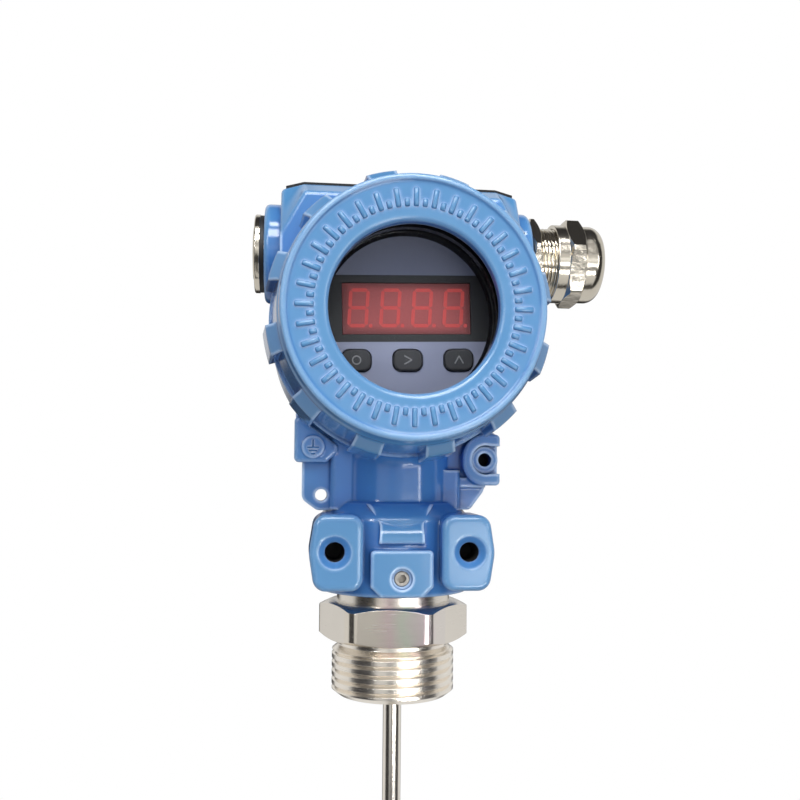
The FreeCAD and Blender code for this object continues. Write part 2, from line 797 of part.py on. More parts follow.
front_rim = barrel_front + seat_gap
front_end = front_rim - cover_thread_len
wall_t = 4.0
face_low = cover_face - 0.6
glass_seat = cover_face - wall_t
gasket_t = 0.6
glass_back = glass_seat - gasket_t - glass_t
retainer_t = 2.4
seat_r = glass_r + slide_gap
spigot_inner = cover_thread_r - 3.0
rim_r = window_r + 10.8
front_cover = turned(
    [
        (spigot_inner, front_end), (cover_thread_r, front_end, 0.6), (cover_thread_r, front_rim),
        (skirt_r, front_rim, 0.6), (skirt_r - skirt_draft, cover_face - 4.0, 0.8),
        (rim_r + 0.5, cover_face - 3.0, 0.6),
        (rim_r, cover_face, 0.7), (rim_r - 1.2, cover_face, 0.4), (rim_r - 1.6, face_low, 0.3),
        (window_r + 0.7, face_low, 0.2), (window_r, face_low - 0.7), (window_r, glass_seat),
        (seat_r, glass_seat), (seat_r, glass_back - retainer_t - 0.4),
        (spigot_inner, glass_back - retainer_t - 1.4),
    ],
    HEAD, FRONT, X,
)
front_cover = joined(front_cover, *cover_lugs(FRONT, front_rim + 0.8, cover_face - 5.2, lug_r))
save("front_cover", front_cover)
gasket_at = HEAD + FRONT * (glass_seat - gasket_t + rest_gap)
save("window_gasket", ring(window_r + 0.25, glass_r, gasket_at, FRONT, gasket_t - 2 * rest_gap))
glass = turned(
    [
        (0, glass_back), (glass_r, glass_back, 0.4),
        (glass_r, glass_back + glass_t, 0.4), (0, glass_back + glass_t),
    ],
    HEAD, FRONT, X,
)
save("window_glass", glass)
retainer_at = HEAD + FRONT * (glass_back - rest_gap - retainer_t)
retainer = ring(window_r + 0.9, glass_r, retainer_at, FRONT, retainer_t)
for k in range(2):
    notch_x = window_r + 0.5
    notch_y = retainer_t + 1 - glass_back
    notch = block(notch_x, notch_x + 2.2, 1.2 - glass_back, notch_y, axis_z - 1.2, axis_z + 1.2)
    notch.rotate(HEAD, Y, 180.0 * k)
    retainer = retainer.cut(notch)
save("window_retainer", retainer)

ring_section = 0.9
ring_seat = 1.05
ring_r = cover_thread_r + turn_gap + ring_section
front_ring = o_ring(HEAD + FRONT * (front_rim - ring_seat), FRONT, ring_r, ring_section)
rear_rim = barrel_rear + seat_gap
rear_end = rear_rim - cover_thread_len
rear_cover = turned(
    [
        (spigot_inner, rear_end), (cover_thread_r, rear_end, 0.6), (cover_thread_r, rear_rim),
        (skirt_r, rear_rim, 0.6), (skirt_r - skirt_draft, rear_face - 3.6, 0.8),
        (rim_r + 0.6, rear_face, 1.6),
        (rim_r - 5.0, rear_face, 0.4), (rim_r - 5.6, rear_face - 0.7, 0.3), (0, rear_face - 0.7),
        (0, rear_face - wall_t), (spigot_inner, rear_face - wall_t, 2.0),
    ],
    HEAD, Y, X,
)
rear_cover = joined(rear_cover, *cover_lugs(Y, rear_rim + 0.8, rear_face - 4.6, rear_lug_r))
save("rear_cover", rear_cover)
rear_ring = o_ring(HEAD + Y * (rear_rim - ring_seat), Y, ring_r, ring_section)
save("front_cover_seal", front_ring)
save("rear_cover_seal", rear_ring)

# Cable gland in the right entry

shank_r = entry_r - thread_gap
shank_end = conduit_face - 8.2
hex_start = conduit_face + 0.2
hex_end = conduit_face + 2.9
stub_end = hex_end + 9.5
nut_start = hex_end + 4.7
nut_hex = nut_start + 3.1
nut_hex_end = nut_hex + 4.8
nut_end = nut_hex_end + 6.0
gland_bore = entry_r - 3.45
claw_bore = gland_thread_r - 1.15
hex_round = gland_af / 2 + 1.35
gland_body = turned(
    [
        (gland_bore, shank_end), (shank_r - 0.8, shank_end), (shank_r, shank_end + 0.8), (shank_r, hex_start),
        (gland_af / 2, hex_start),
        (hex_round, hex_start + 0.9), (hex_round, hex_end - 0.9), (gland_af / 2, hex_end),
        (gland_thread_r, hex_end), (gland_thread_r, stub_end - 0.6), (gland_thread_r - 0.6, stub_end),
        (claw_bore, stub_end), (claw_bore, hex_end + 1.2), (gland_bore, hex_end + 1.2),
    ],
    ENTRY, X, Y,
)
gland_trim = rod(hex_round + 3, ENTRY + X * hex_start, X, hex_end - hex_start)
gland_hex = hexagon(gland_af, ENTRY + X * hex_start, X, Y, hex_end - hex_start, gland_turn_deg)
gland_trim = gland_trim.cut(gland_hex)
save("gland_body", gland_body.cut(gland_trim))
save("gland_o_ring", o_ring(ENTRY + X * (hex_start - 0.52), X, shank_r + 0.52, 0.5))

claw_r = claw_bore - slide_gap
seal_hole = entry_r - 5.45
insert_start = hex_end + 1.5
insert_end = stub_end + 1.8
claw = turned(
    [
        (seal_hole + 3.1, insert_start), (claw_r, insert_start), (claw_r, stub_end + 0.2),
        (claw_r + 0.9, stub_end + 0.2), (claw_r + 0.9, stub_end + 1.0), (claw_r, insert_end),
        (seal_hole + 3.1, insert_end),
    ],
    ENTRY, X, Y,
)
for k in range(6):
    finger = block(
        stub_end - 3.0, insert_end + 1, -0.4, 0.4, conduit_z + seal_hole + 2.0, conduit_z + entry_d,
    )
    finger.rotate(ENTRY, X, 60.0 * k)
    claw = claw.cut(finger)
save("gland_claw", claw)
seal_start = insert_start + 0.1
seal = ring(seal_hole, seal_hole + 3.05, ENTRY + X * seal_start, X, insert_end - 0.1 - seal_start)
save("gland_seal", seal)

nut_thread = gland_thread_r + thread_gap
dome_r = nut_collar_r - 0.15
lip_r = seal_hole + 1.5
inner_end = insert_end + 0.3
dome_nut = turned(
    [
        (nut_thread, nut_start), (nut_collar_r, nut_start, 0.3), (nut_collar_r, nut_hex),
        (gland_af / 2, nut_hex), (hex_round, nut_hex + 0.8), (hex_round, nut_hex_end - 0.8),
        (gland_af / 2, nut_hex_end), (dome_r, nut_hex_end), (dome_r, nut_end, 3.6), (lip_r, nut_end, 0.6),
        (lip_r, inner_end + 3.0), (claw_r + 0.5, inner_end), (nut_thread, inner_end),
    ],
    ENTRY, X, Y,
)
nut_trim = rod(hex_round + 3, ENTRY + X * nut_hex, X, nut_hex_end - nut_hex)
nut_trim = nut_trim.cut(hexagon(gland_af, ENTRY + X * nut_hex, X, Y, nut_hex_end - nut_hex, gland_turn_deg))
save("gland_dome_nut", dome_nut.cut(nut_trim))

# Blanking plug in the left entry

gasket_start = conduit_face + 0.1
gasket_end = gasket_start + 1.1
head_start = gasket_end + rest_gap
head_end = head_start + 1.5
gasket_at = ENTRY + LEFT * gasket_start
save("plug_gasket", ring(entry_r, plug_head_r - 0.2, gasket_at, LEFT, gasket_end - gasket_start))
plug = turned(
    [
        (0, shank_end), (shank_r - 0.8, shank_end), (shank_r, shank_end + 0.8), (shank_r, head_start),
        (plug_head_r, head_start), (plug_head_r, head_end, 0.5), (plug_head_r - 3.2, head_end, 0.3),
        (plug_head_r - 3.6, head_end + 0.4, 0.3), (0, head_end + 0.4),
    ],
    ENTRY, LEFT, Y,
)
plug = plug.cut(hexagon(8.0, ENTRY + LEFT * (head_end - 5.0), LEFT, Y, 8.0))
save("blanking_plug", plug)
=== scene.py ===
import json
import math

import bmesh
import bpy
from bpy.props import FloatProperty, FloatVectorProperty, IntProperty, PointerProperty
from mathutils import Matrix, Vector


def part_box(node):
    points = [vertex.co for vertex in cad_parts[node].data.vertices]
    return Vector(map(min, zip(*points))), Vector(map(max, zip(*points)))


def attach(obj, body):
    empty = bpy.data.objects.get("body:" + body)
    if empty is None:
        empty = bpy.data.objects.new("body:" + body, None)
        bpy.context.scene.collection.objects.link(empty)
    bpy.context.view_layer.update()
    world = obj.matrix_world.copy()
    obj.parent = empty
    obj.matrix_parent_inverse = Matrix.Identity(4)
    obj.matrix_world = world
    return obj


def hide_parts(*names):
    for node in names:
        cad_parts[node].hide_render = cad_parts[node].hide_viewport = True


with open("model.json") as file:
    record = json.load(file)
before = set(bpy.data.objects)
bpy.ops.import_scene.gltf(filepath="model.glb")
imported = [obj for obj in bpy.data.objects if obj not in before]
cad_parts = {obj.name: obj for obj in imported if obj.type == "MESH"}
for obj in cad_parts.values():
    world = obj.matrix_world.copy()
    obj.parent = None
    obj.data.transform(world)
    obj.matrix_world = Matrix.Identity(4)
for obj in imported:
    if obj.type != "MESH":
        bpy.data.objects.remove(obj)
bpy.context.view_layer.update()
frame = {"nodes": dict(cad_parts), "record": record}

bl_info = {
    "name": "Rod-probe level head",
    "version": (1, 0, 0),
    "blender": (4, 5, 0),
    "location": "3D View > Sidebar > Level head",
    "description": "Cuts the threads, adds the relief and the display marks, and finishes a level head",
    "category": "Object",
}

# Sizes are in metres. X is right, -Y is the front, +Z is up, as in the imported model.

MM = 0.001
NODES = frame["nodes"]
MOUNTS = {mount["name"]: mount for mount in frame["record"]["mounts"]}

PIPE = MOUNTS["process_thread"]
PIPE_R = PIPE["dims"]["r_mm"] * MM
PIPE_HALF = PIPE["dims"]["length_mm"] * MM / 2
COVER_LOW, COVER_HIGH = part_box("front_cover")
HEAD_Z = (COVER_LOW[2] + COVER_HIGH[2]) / 2
COVER_FACE = COVER_LOW[1]
GLAND_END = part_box("gland_body")[1][0]
ENTRY_Z = MOUNTS["cable_entry"]["pos_m"][2]
PLUG_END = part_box("blanking_plug")[1][0]
DIGITS_LOW, DIGITS_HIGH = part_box("digit_block")
DIGITS_Z = (DIGITS_LOW[2] + DIGITS_HIGH[2]) / 2
ROD_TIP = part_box("probe_rod")[0][2]
PAD_HOLE_X = MOUNTS["bracket_holes"]["dims"]["spacing_x_mm"] * MM / 2
PAD_HOLE_Y = MOUNTS["bracket_holes"]["pos_m"][1]
PAD_HOLE_Z = MOUNTS["bracket_holes"]["pos_m"][2]
EAR = MOUNTS["ground_terminal"]["pos_m"]

# Where the threads run, and where the castings are bare or drilled

GLAND_THREAD_R = 9.75 * MM
GLAND_HEXAGON_END = 39.0 * MM
PLUG_THREAD_R = 9.85 * MM
PLUG_HEAD_BACK = -36.0 * MM
COVER_THREAD_R = 29.5 * MM
COVER_THREAD_RUN = 9.0 * MM
FRONT_THREAD_START = -17.6 * MM
REAR_THREAD_START = 19.6 * MM
CHAMBER_R, CHAMBER_HALF = 31.0 * MM, 21.7 * MM
ENTRY_R, ENTRY_HALF = 10.05 * MM, 35.2 * MM
SPIGOT_R, SPIGOT_TOP = 13.7 * MM, 45.0 * MM
FRONT_SPIGOT_Y, REAR_SPIGOT_Y = -20.2 * MM, 22.2 * MM
PAD_HOLE_R, PAD_HOLE_DEPTH = 2.7 * MM, 10.6 * MM
EAR_HOLE_R, EAR_HOLE_NEAR, EAR_HOLE_FAR = 1.95 * MM, 0.15 * MM, 3.85 * MM
EARTH_BOSS = Vector((-22.55, -11.5, 59.8)) * MM

# Each lamp's name, place, width and height, watts, and whether surfaces mirror it

LAMP_AIM = (0.0, 0.0, 0.06)
LAMPS = (
    ("key_light", (-0.06, -0.66, 0.61), (0.60, 0.26), 5.3, True),
    ("left_light", (-0.48, -0.57, 0.36), (0.06, 0.30), 1.1, True),
    ("right_light", (0.53, -0.52, 0.16), (0.04, 0.30), 0.4, True),
    ("top_strip", (0.04, -0.38, 0.78), (0.40, 0.14), 2.2, True),
    ("front_card", (0.05, -0.90, 0.17), (1.20, 0.12), 0.25, True),
    ("low_strip", (0.42, -0.80, -0.055), (0.6, 0.11), 0.85, True),
    ("low_front", (0.14, -0.33, -0.10), (0.16, 0.03), 0.30, True),
    ("back_light", (0.15, 0.80, 0.45), (1.0, 0.7), 3.5, False),
)

# Headings of the white walls that metal mirrors, in degrees to the right of the front

WALLS = ((-40, -14), (-4, 45), (84, 180), (-180, -88))


# Settings that a user would change


def length(name, description, default):
    """A size property in metres."""
    return FloatProperty(
        name=name, description=description, default=default, min=0.0, precision=6, unit="LENGTH"
    )


def angle(name, description, degrees):
    """An angle property."""
    return FloatProperty(name=name, description=description, default=math.radians(degrees), subtype="ANGLE")


def colour(name, description, default):
    """A colour property, in linear values."""
    return FloatVectorProperty(
        name=name, description=description, default=default, subtype="COLOR", size=3, min=0.0, max=1.0
    )


class HeadThreads(bpy.types.PropertyGroup):
    """Pitches and depths of the screw threads."""

    pipe_pitch: length("Pipe pitch", "Pitch of the one-inch pipe thread on the fitting", 2.309 * MM)
    pipe_depth: length("Pipe depth", "Depth of the pipe thread's groove", 0.95 * MM)
    gland_pitch: length("Gland pitch", "Pitch of the fine thread on the gland body", 1.0 * MM)
    gland_depth: length("Gland depth", "Depth of the fine thread's groove", 0.62 * MM)
    entry_pitch: length("Entry pitch", "Pitch of the thread on the blanking plug", 1.5 * MM)
    entry_depth: length("Entry depth", "Depth of the plug thread's groove", 0.9 * MM)
    cover_pitch: length("Cover pitch", "Pitch of the thread on both covers", 2.0 * MM)
    cover_depth: length("Cover depth", "Depth of the cover thread's groove", 1.1 * MM)


class HeadMarks(bpy.types.PropertyGroup):
    """Sizes of the cast relief, the display's digits and the button marks."""

    tick_count: IntProperty(name="Ticks", description="Raised ticks round the front cover", default=36, min=4)
    tick_width: length("Tick width", "Width of a raised tick", 1.25 * MM)
    tick_length: length("Tick length", "Radial length of a long tick", 4.4 * MM)
    tick_radius: length("Tick radius", "Radius of the middle of the ticks", 25.4 * MM)
    tick_height: length("Tick height", "Height of the relief above the recessed ring", 0.5 * MM)
    digit_height: length("Digit height", "Height of a seven-bar digit", 9.7 * MM)
    digit_width: length("Digit width", "Width of a seven-bar digit", 5.1 * MM)
    digit_pitch: length("Digit pitch", "Distance from digit to digit", 7.9 * MM)
    digit_bar: length("Digit bar", "Width of one bar of a digit", 0.85 * MM)
    digit_slant: angle("Digit slant", "Lean of the digits to the right", 4.5)
    display_turn: angle("Display turn", "Turn of the display in the head, to the left", 1.5)
    chevron_arm: length("Chevron arm", "Length of one arm of a button's mark", 2.2 * MM)
    chevron_bar: length("Chevron bar", "Width of an arm of a button's mark", 0.32 * MM)
    earth_width: length("Earth mark width", "Width of the longest bar of the earth mark", 3.2 * MM)


class HeadColours(bpy.types.PropertyGroup):
    """Colours of the finishes."""

    enamel: colour("Enamel", "Stoved enamel on the castings", (0.088, 0.244, 0.412))
    enamel_deep: colour("Deep enamel", "Enamel where it lies thick", (0.078, 0.220, 0.388))
    # Painted shade: the deep, saturated blue that recesses are tinted towards.
    enamel_recess_shade: colour("Pooled enamel", "Enamel in a recess", (0.030, 0.170, 0.640))
    # Painted highlight: the pale colour that convex edges are lightened towards.
    enamel_edge_highlight: colour("Thin enamel", "Enamel drawn thin over an edge", (0.600, 0.760, 0.910))
    aluminium: colour("Aluminium", "Bare machined casting", (0.60, 0.60, 0.61))
    steel: colour("Steel", "Turned stainless steel", (0.90, 0.85, 0.775))
    nickel: colour("Nickel", "Plated brass of the gland and the plug", (0.74, 0.69, 0.595))
    brass: colour("Brass", "Bare brass", (0.66, 0.46, 0.18))
    rubber: colour("Rubber", "Seals and gaskets", (0.007, 0.007, 0.008))
    plate: colour("Plate", "Black name plate", (0.006, 0.006, 0.007))
    panel: colour("Panel", "Grey film of the display panel", (0.500, 0.515, 0.645))
    band: colour("Band", "Dark band around the digits", (0.045, 0.044, 0.043))
    lens: colour("Lens", "Smoked red block of the digits", (0.490, 0.098, 0.090))
    segment: colour("Segment", "Lit bar of a digit", (0.640, 0.080, 0.070))
    button: colour("Button", "Soft dark buttons", (0.068, 0.066, 0.066))
    button_mark: colour("Button mark", "Pale mark on a button", (0.420, 0.410, 0.390))
    board: colour("Board", "Green circuit board", (0.020, 0.120, 0.050))
    terminal: colour("Terminal", "Green terminal block", (0.030, 0.240, 0.110))
    grey_plastic: colour("Grey plastic", "Potted electronics module", (0.150, 0.155, 0.160))
    red_plastic: colour("Red plastic", "Sleeve of the inner lead", (0.480, 0.025, 0.020))
    white_plastic: colour("White plastic", "Insulator and clamp fingers", (0.760, 0.750, 0.710))


class HeadStudio(bpy.types.PropertyGroup):
    """Camera, light and floor."""

    camera_distance: length("Camera distance", "From the part's axis to the camera", 0.24626)
    camera_height: length("Camera height", "Camera above the middle of the pipe thread", 0.05379)
    camera_round: angle("Camera round", "Camera's place to the left of the front", 5.919)
    camera_pan: angle("Camera pan", "Turn of the camera to the right of the axis", 0.36)
    camera_tilt: angle("Camera tilt", "Tilt of the camera upwards", 2.158)
    camera_roll: angle("Camera roll", "Roll of the camera", 0.5)
    camera_lens: FloatProperty(
        name="Lens", description="Focal length on a 36 mm sensor", default=40.0, unit="CAMERA"
    )
    camera_shift: FloatProperty(name="Shift", description="Vertical shift of the picture", default=0.04625)
    sky: FloatProperty(name="Sky", description="Brightness of the even light", default=0.45, min=0.0)
    sky_tint: colour("Sky tint", "Colour of the even light all round", (0.28, 0.46, 1.0))


# Modelling helpers


def alone(piece):
    """Leaves one object selected and active."""
    bpy.ops.object.select_all(action="DESELECT")
    piece.select_set(True)
    bpy.context.view_layer.objects.active = piece


def edit(piece):
    """Opens one object in edit mode."""
    alone(piece)
    bpy.ops.object.mode_set(mode="EDIT")


def close_edit():
    """Goes back to object mode."""
    bpy.ops.object.mode_set(mode="OBJECT")


def pick(kind, test):
    """Selects the vertices, edges or faces in edit mode that pass a test."""
    bpy.ops.mesh.select_mode(type=kind)
    bpy.ops.mesh.select_all(action="DESELECT")
    mesh = bpy.context.edit_object.data
    shape = bmesh.from_edit_mesh(mesh)
    members = {"VERT": shape.verts, "EDGE": shape.edges, "FACE": shape.faces}[kind]
    for member in members:
        if test(member):
            member.select_set(True)
    shape.select_flush_mode()
    bmesh.update_edit_mesh(mesh)


def settle(piece):
    """Puts an object's place, turn and scale into its mesh."""
    alone(piece)
    bpy.ops.object.transform_apply(location=True, rotation=True, scale=True)


def turn_about(piece, centre, axis, by):
    """Turns an object about an axis through a point, and settles it."""
    spot = Matrix.Translation(centre)
    piece.matrix_world = spot @ Matrix.Rotation(by, 4, axis) @ spot.inverted() @ piece.matrix_world
    settle(piece)


def copy_of(piece):
    """A copy with its own mesh."""
    alone(piece)
    bpy.ops.object.duplicate(linked=False)
    return bpy.context.object


def as_one(pieces, name):
    """Joins settled pieces into one named object."""
    bpy.ops.object.select_all(action="DESELECT")
    for piece in pieces:
        piece.select_set(True)
    bpy.context.view_layer.objects.active = pieces[0]
    if len(pieces) > 1:
        bpy.ops.object.join()
    whole = bpy.context.object
    settle(whole)
    whole.name = name
    whole.data.name = name
    return whole


def dress(piece, material):
    """Gives an object one material."""
    piece.data.materials.clear()
    piece.data.materials.append(material)


def hand_over(piece, body, material):
    """Finishes a new piece: smooth shading, material, slot and the body that it rides on."""
    alone(piece)
    bpy.ops.object.shade_smooth_by_angle(angle=math.radians(32))
    dress(piece, material)
    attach(piece, body)


def block(size, place):
    """A plain box: size and place in X, Y and Z."""
    bpy.ops.object.select_all(action="DESELECT")
    bpy.ops.mesh.primitive_cube_add(size=1, location=place)
    piece = bpy.context.object
    piece.scale = size
    bpy.ops.object.transform_apply(location=False, rotation=False, scale=True)
    return piece


def bar(size, place, bevel):
    """A bar with eased edges."""
    piece = block(size, place)
    edit(piece)
    bpy.ops.mesh.select_all(action="SELECT")
    bpy.ops.mesh.bevel(offset=bevel, segments=2, affect="EDGES")
    close_edit()
    return piece


def pointed_bar(size, place, point):
    """A flat bar whose ends come to a point, as a display's bar does."""
    piece = block(size, place)
    edit(piece)
    pick("EDGE", lambda edge: abs(edge.verts[0].co.y - edge.verts[1].co.y) > size[1] / 2)
    bpy.ops.mesh.bevel(offset=point, segments=1, affect="EDGES")
    close_edit()
    return piece


# Threads


def thread_cutter(axis, centre, radius, depth, pitch, stop, run):
    """A V-shaped helix for a right-hand thread that starts at stop and runs that far along the axis."""
    along = {"X": Vector((1, 0, 0)), "Y": Vector((0, 1, 0)), "Z": Vector((0, 0, 1))}[axis]
    out = Vector((1, 0, 0)) if axis == "Z" else Vector((0, 0, 1))
    height = depth * 1.2
    bpy.ops.object.select_all(action="DESELECT")
    bpy.ops.mesh.primitive_circle_add(vertices=3, radius=height * 2 / 3, fill_type="NOTHING")
    cutter = bpy.context.object
    turn = Matrix((along, -out, along.cross(-out))).transposed().to_4x4()
    spot = along * stop + out * (radius - depth + height * 2 / 3)
    cutter.matrix_world = Matrix.Translation(spot) @ turn
    settle(cutter)
    cutter.location = centre
    way = math.copysign(1.0, run)
    screw = cutter.modifiers.new("Helix", "SCREW")
    screw.axis = axis
    screw.angle = way * 2 * math.pi
    screw.screw_offset = way * pitch
    screw.iterations = math.ceil(abs(run) / pitch)
    screw.steps = 48
    screw.render_steps = 48
    bpy.ops.object.modifier_apply(modifier=screw.name)
    edit(cutter)
    bpy.ops.mesh.select_all(action="SELECT")
    bpy.ops.mesh.fill_holes(sides=0)
    bpy.ops.mesh.select_all(action="SELECT")
    bpy.ops.mesh.normals_make_consistent(inside=False)
    close_edit()
    return cutter


def threaded(node, name, **thread):
    """A merged copy of a turned CAD node with a thread cut into it."""
    piece = copy_of(NODES[node])
    world = piece.matrix_world.copy()
    piece.parent = None
    piece.matrix_world = world
    piece.name = name
    bpy.ops.mesh.customdata_custom_splitnormals_clear()
    edit(piece)
    bpy.ops.mesh.select_all(action="SELECT")
    bpy.ops.mesh.remove_doubles(threshold=1e-6)
    close_edit()
    cutter = thread_cutter(**thread)
    alone(piece)
    cut = piece.modifiers.new("Thread", "BOOLEAN")
    cut.operation = "DIFFERENCE"
    cut.solver = "EXACT"
    cut.object = cutter
    before = len(piece.data.vertices)
    bpy.ops.object.modifier_apply(modifier=cut.name)
    if len(piece.data.vertices) <= before:
        raise RuntimeError(f"the thread on {node} was not cut")
    alone(cutter)
    bpy.ops.object.delete()
    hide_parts(node)
    return piece


# Shader helpers


class Value:
    """A socket that joins in Python sums: each operator adds one Math node."""

    def __init__(self, graph, socket):
        self.graph = graph
        self.socket = socket

    def out(self, name):
        """Another output of the same node."""
        return Value(self.graph, self.socket.node.outputs[name])

    def math(self, operation, *terms):
        """The result of one Math node."""
        return self.graph.node("ShaderNodeMath", {"operation": operation}, dict(enumerate(terms)))

    def __add__(self, other):
        return self.math("ADD", self, other)

    def __radd__(self, other):
        return self.math("ADD", other, self)

    def __sub__(self, other):
        return self.math("SUBTRACT", self, other)

    def __rsub__(self, other):
        return self.math("SUBTRACT", other, self)

    def __mul__(self, other):
        return self.math("MULTIPLY", self, other)

    def __rmul__(self, other):
        return self.math("MULTIPLY", other, self)

    def __pow__(self, other):
        return self.math("POWER", self, other)

    def __abs__(self):
        return self.math("ABSOLUTE", self)

    def __lt__(self, other):
        return self.math("LESS_THAN", self, other)

    def __gt__(self, other):
        return self.math("GREATER_THAN", self, other)

    def larger(self, other):
        """The larger of two values."""
        return self.math("MAXIMUM", self, other)

    def smaller(self, other):
        """The smaller of two values."""
        return self.math("MINIMUM", self, other)


class Graph:
    """A node tree under construction."""

    def __init__(self, tree):
        self.tree = tree

    def node(self, kind, settings=None, inputs=None, output=0):
        """Adds a node: its settings first, then the values or links of its sockets."""
        node = self.tree.nodes.new(kind)
        for key, value in (settings or {}).items():
            if key == "stops":
                self.set_stops(node.color_ramp, value)
            else:
                setattr(node, key, value)
        for key, value in (inputs or {}).items():
            self.feed(node.inputs[key], value)
        return Value(self, node.outputs[output])

    def set_stops(self, ramp, stops):
        """Sets a colour ramp's places and colours."""
        while len(ramp.elements) < len(stops):
            ramp.elements.new(1.0)
        for element, (position, shade) in zip(ramp.elements, stops):
            element.position = position
            element.color = (*shade, 1.0)

    def feed(self, socket, value):
        """Links a value to a socket, or writes a constant on it."""
        if isinstance(value, Value):
            self.tree.links.new(value.socket, socket)
        else:
            socket.default_value = value

    def mix(self, factor, low, high):
        """A blend of two colours."""
        low, high = (shade if isinstance(shade, Value) else (*shade, 1.0) for shade in (low, high))
        return self.node(
            "ShaderNodeMix",
            {"data_type": "RGBA", "clamp_factor": True},
            {0: factor, 6: low, 7: high},
            output=2,
        )

    def smooth(self, value, low, high):
        """0 below low, 1 above high, and an even rise between."""
        return self.node(
            "ShaderNodeMapRange",
            {"interpolation_type": "SMOOTHSTEP"},
            {"Value": value, "From Min": low, "From Max": high, "To Min": 0.0, "To Max": 1.0},
        )


class Finish(Graph):
    """A material under construction, with the part's own coordinates."""

    def __init__(self, name, **plain):
        self.material = bpy.data.materials.new(name)
        self.material.use_nodes = True
        super().__init__(self.material.node_tree)
        self.shader = self.tree.nodes["Principled BSDF"]
        for key, value in plain.items():
            self.shader.inputs[key.replace("_", " ")].default_value = value
        self.place = self.node("ShaderNodeTexCoord", output="Object")
        parts = self.node("ShaderNodeSeparateXYZ", {}, {0: self.place})
        self.x = parts.out("X")
        self.y = parts.out("Y")
        self.z = parts.out("Z")

    def set(self, **links):
        """Feeds the shader's sockets."""
        for key, value in links.items():
            if isinstance(value, (tuple, list)):
                value = (*value, 1.0)
            self.feed(self.shader.inputs[key.replace("_", " ")], value)

    def noise(self, scale, detail=2.0, stretch=(1.0, 1.0, 1.0)):
        """Cloudy values from 0 to 1; scale is in features per metre."""
        spread = self.node(
            "ShaderNodeVectorMath",
            {"operation": "MULTIPLY"},
            {0: self.place, 1: tuple(scale * share for share in stretch)},
        )
        return self.node("ShaderNodeTexNoise", {}, {"Vector": spread, "Scale": 1.0, "Detail": detail})

    def relief(self, height, edge=0.0):
        """A normal from a height in metres, over edges that are eased by a radius."""
        links = {"Strength": 1.0, "Distance": 1.0, "Height": height}
        if edge:
            links["Normal"] = self.node("ShaderNodeBevel", {"samples": 8}, {"Radius": edge})
        self.set(Normal=self.node("ShaderNodeBump", {}, links))

    def openness(self, reach, inside=False):
        """How much room lies in front of the surface, or behind it: 1 on flat ground, less at a bend."""
        settings = {"samples": 8, "inside": inside}
        return self.node("ShaderNodeAmbientOcclusion", settings, {"Distance": reach}, output="AO")

    def surface(self, factor, other, other_first):
        """Mixes the shader with another one, and makes the mixture the material's surface."""
        pair = [Value(self, self.shader.outputs[0]), other]
        if other_first:
            pair.reverse()
        mixed = self.node("ShaderNodeMixShader", {}, {0: factor, 1: pair[0], 2: pair[1]})
        self.feed(self.tree.nodes["Material Output"].inputs["Surface"], mixed)

    def off_axis(self, a, b, at):
        """Distance from an axis that passes through a point in the plane of two coordinates."""
        p = a - at[0]
        q = b - at[1]
        return (p * p + q * q) ** 0.5


# Finishes


def enamel(name, machined=None, holes=None, edge_highlight=0.7):
    """Stoved enamel on a casting, with bare machined metal and tapped holes painted near black as painted
    shade where the masks say so, painted shade in recesses and crevices, and a painted highlight along convex
    edges.
    """
    colours = bpy.context.scene.head_colours
    finish = Finish(name, IOR=1.63)
    cloud = finish.noise(55.0, 3.0)
    peel = finish.noise(900.0, 1.0)
    wave = finish.noise(140.0, 1.0)
    shade = finish.mix(cloud, colours.enamel_deep, colours.enamel)
    # Painted shade: places with little open room within 20 mm, such as the neck under the cover, turn towards
    # a deep, saturated blue.
    shade = finish.mix(finish.openness(20.0 * MM), colours.enamel_recess_shade, shade)
    # Painted shade: crevices within 4 mm darken towards 0.4 of the deep enamel.
    free = finish.openness(4.0 * MM)
    shade = finish.mix(0.8 * (1.0 - free), shade, [part * 0.4 for part in colours.enamel_deep])
    # Painted highlight: convex edges are lightened towards a pale blue.
    if edge_highlight:
        ridge = 1.0 - finish.smooth(finish.openness(0.95 * MM, inside=True), 0.73, 0.95)
        shade = finish.mix(edge_highlight * ridge, shade, colours.enamel_edge_highlight)
    height = peel * 0.000008 + wave * 0.00005
    roughness = 0.10 + 0.07 * cloud
    if machined is None:
        finish.set(Base_Color=shade, Roughness=roughness)
    else:
        bare = machined(finish)
        grain = finish.noise(500.0, 2.0, (0.3, 3.0, 0.3))
        metal = finish.mix(grain, [0.75 * part for part in colours.aluminium], colours.aluminium)
        skin = finish.mix(bare, shade, metal)
        roughness = roughness + bare * (0.2 + 0.1 * grain)
        if holes is not None:
            # Painted shade: the tapped holes are coloured near black and made rough.
            dark = holes(finish)
            skin = finish.mix(dark, skin, (0.004, 0.004, 0.005))
            roughness = roughness + dark * 0.6
        finish.set(Base_Color=skin, Roughness=roughness, Metallic=bare)
    finish.relief(height, 1.2 * MM)
    return finish.material


def housing_bare(finish):
    """Mask of the housing's machined bores."""
    head_r = finish.off_axis(finish.x, finish.z, (0.0, HEAD_Z))
    entry_r = finish.off_axis(finish.y, finish.z, (0.0, ENTRY_Z))
    spigot_r = finish.off_axis(finish.x, finish.y, (0.0, 0.0))
    chamber = (head_r < CHAMBER_R) * (abs(finish.y) < CHAMBER_HALF)
    entry = (entry_r < ENTRY_R) * (abs(finish.x) < ENTRY_HALF)
    spigot = (spigot_r < SPIGOT_R) * (finish.z < SPIGOT_TOP)
    return chamber.larger(entry).larger(spigot)


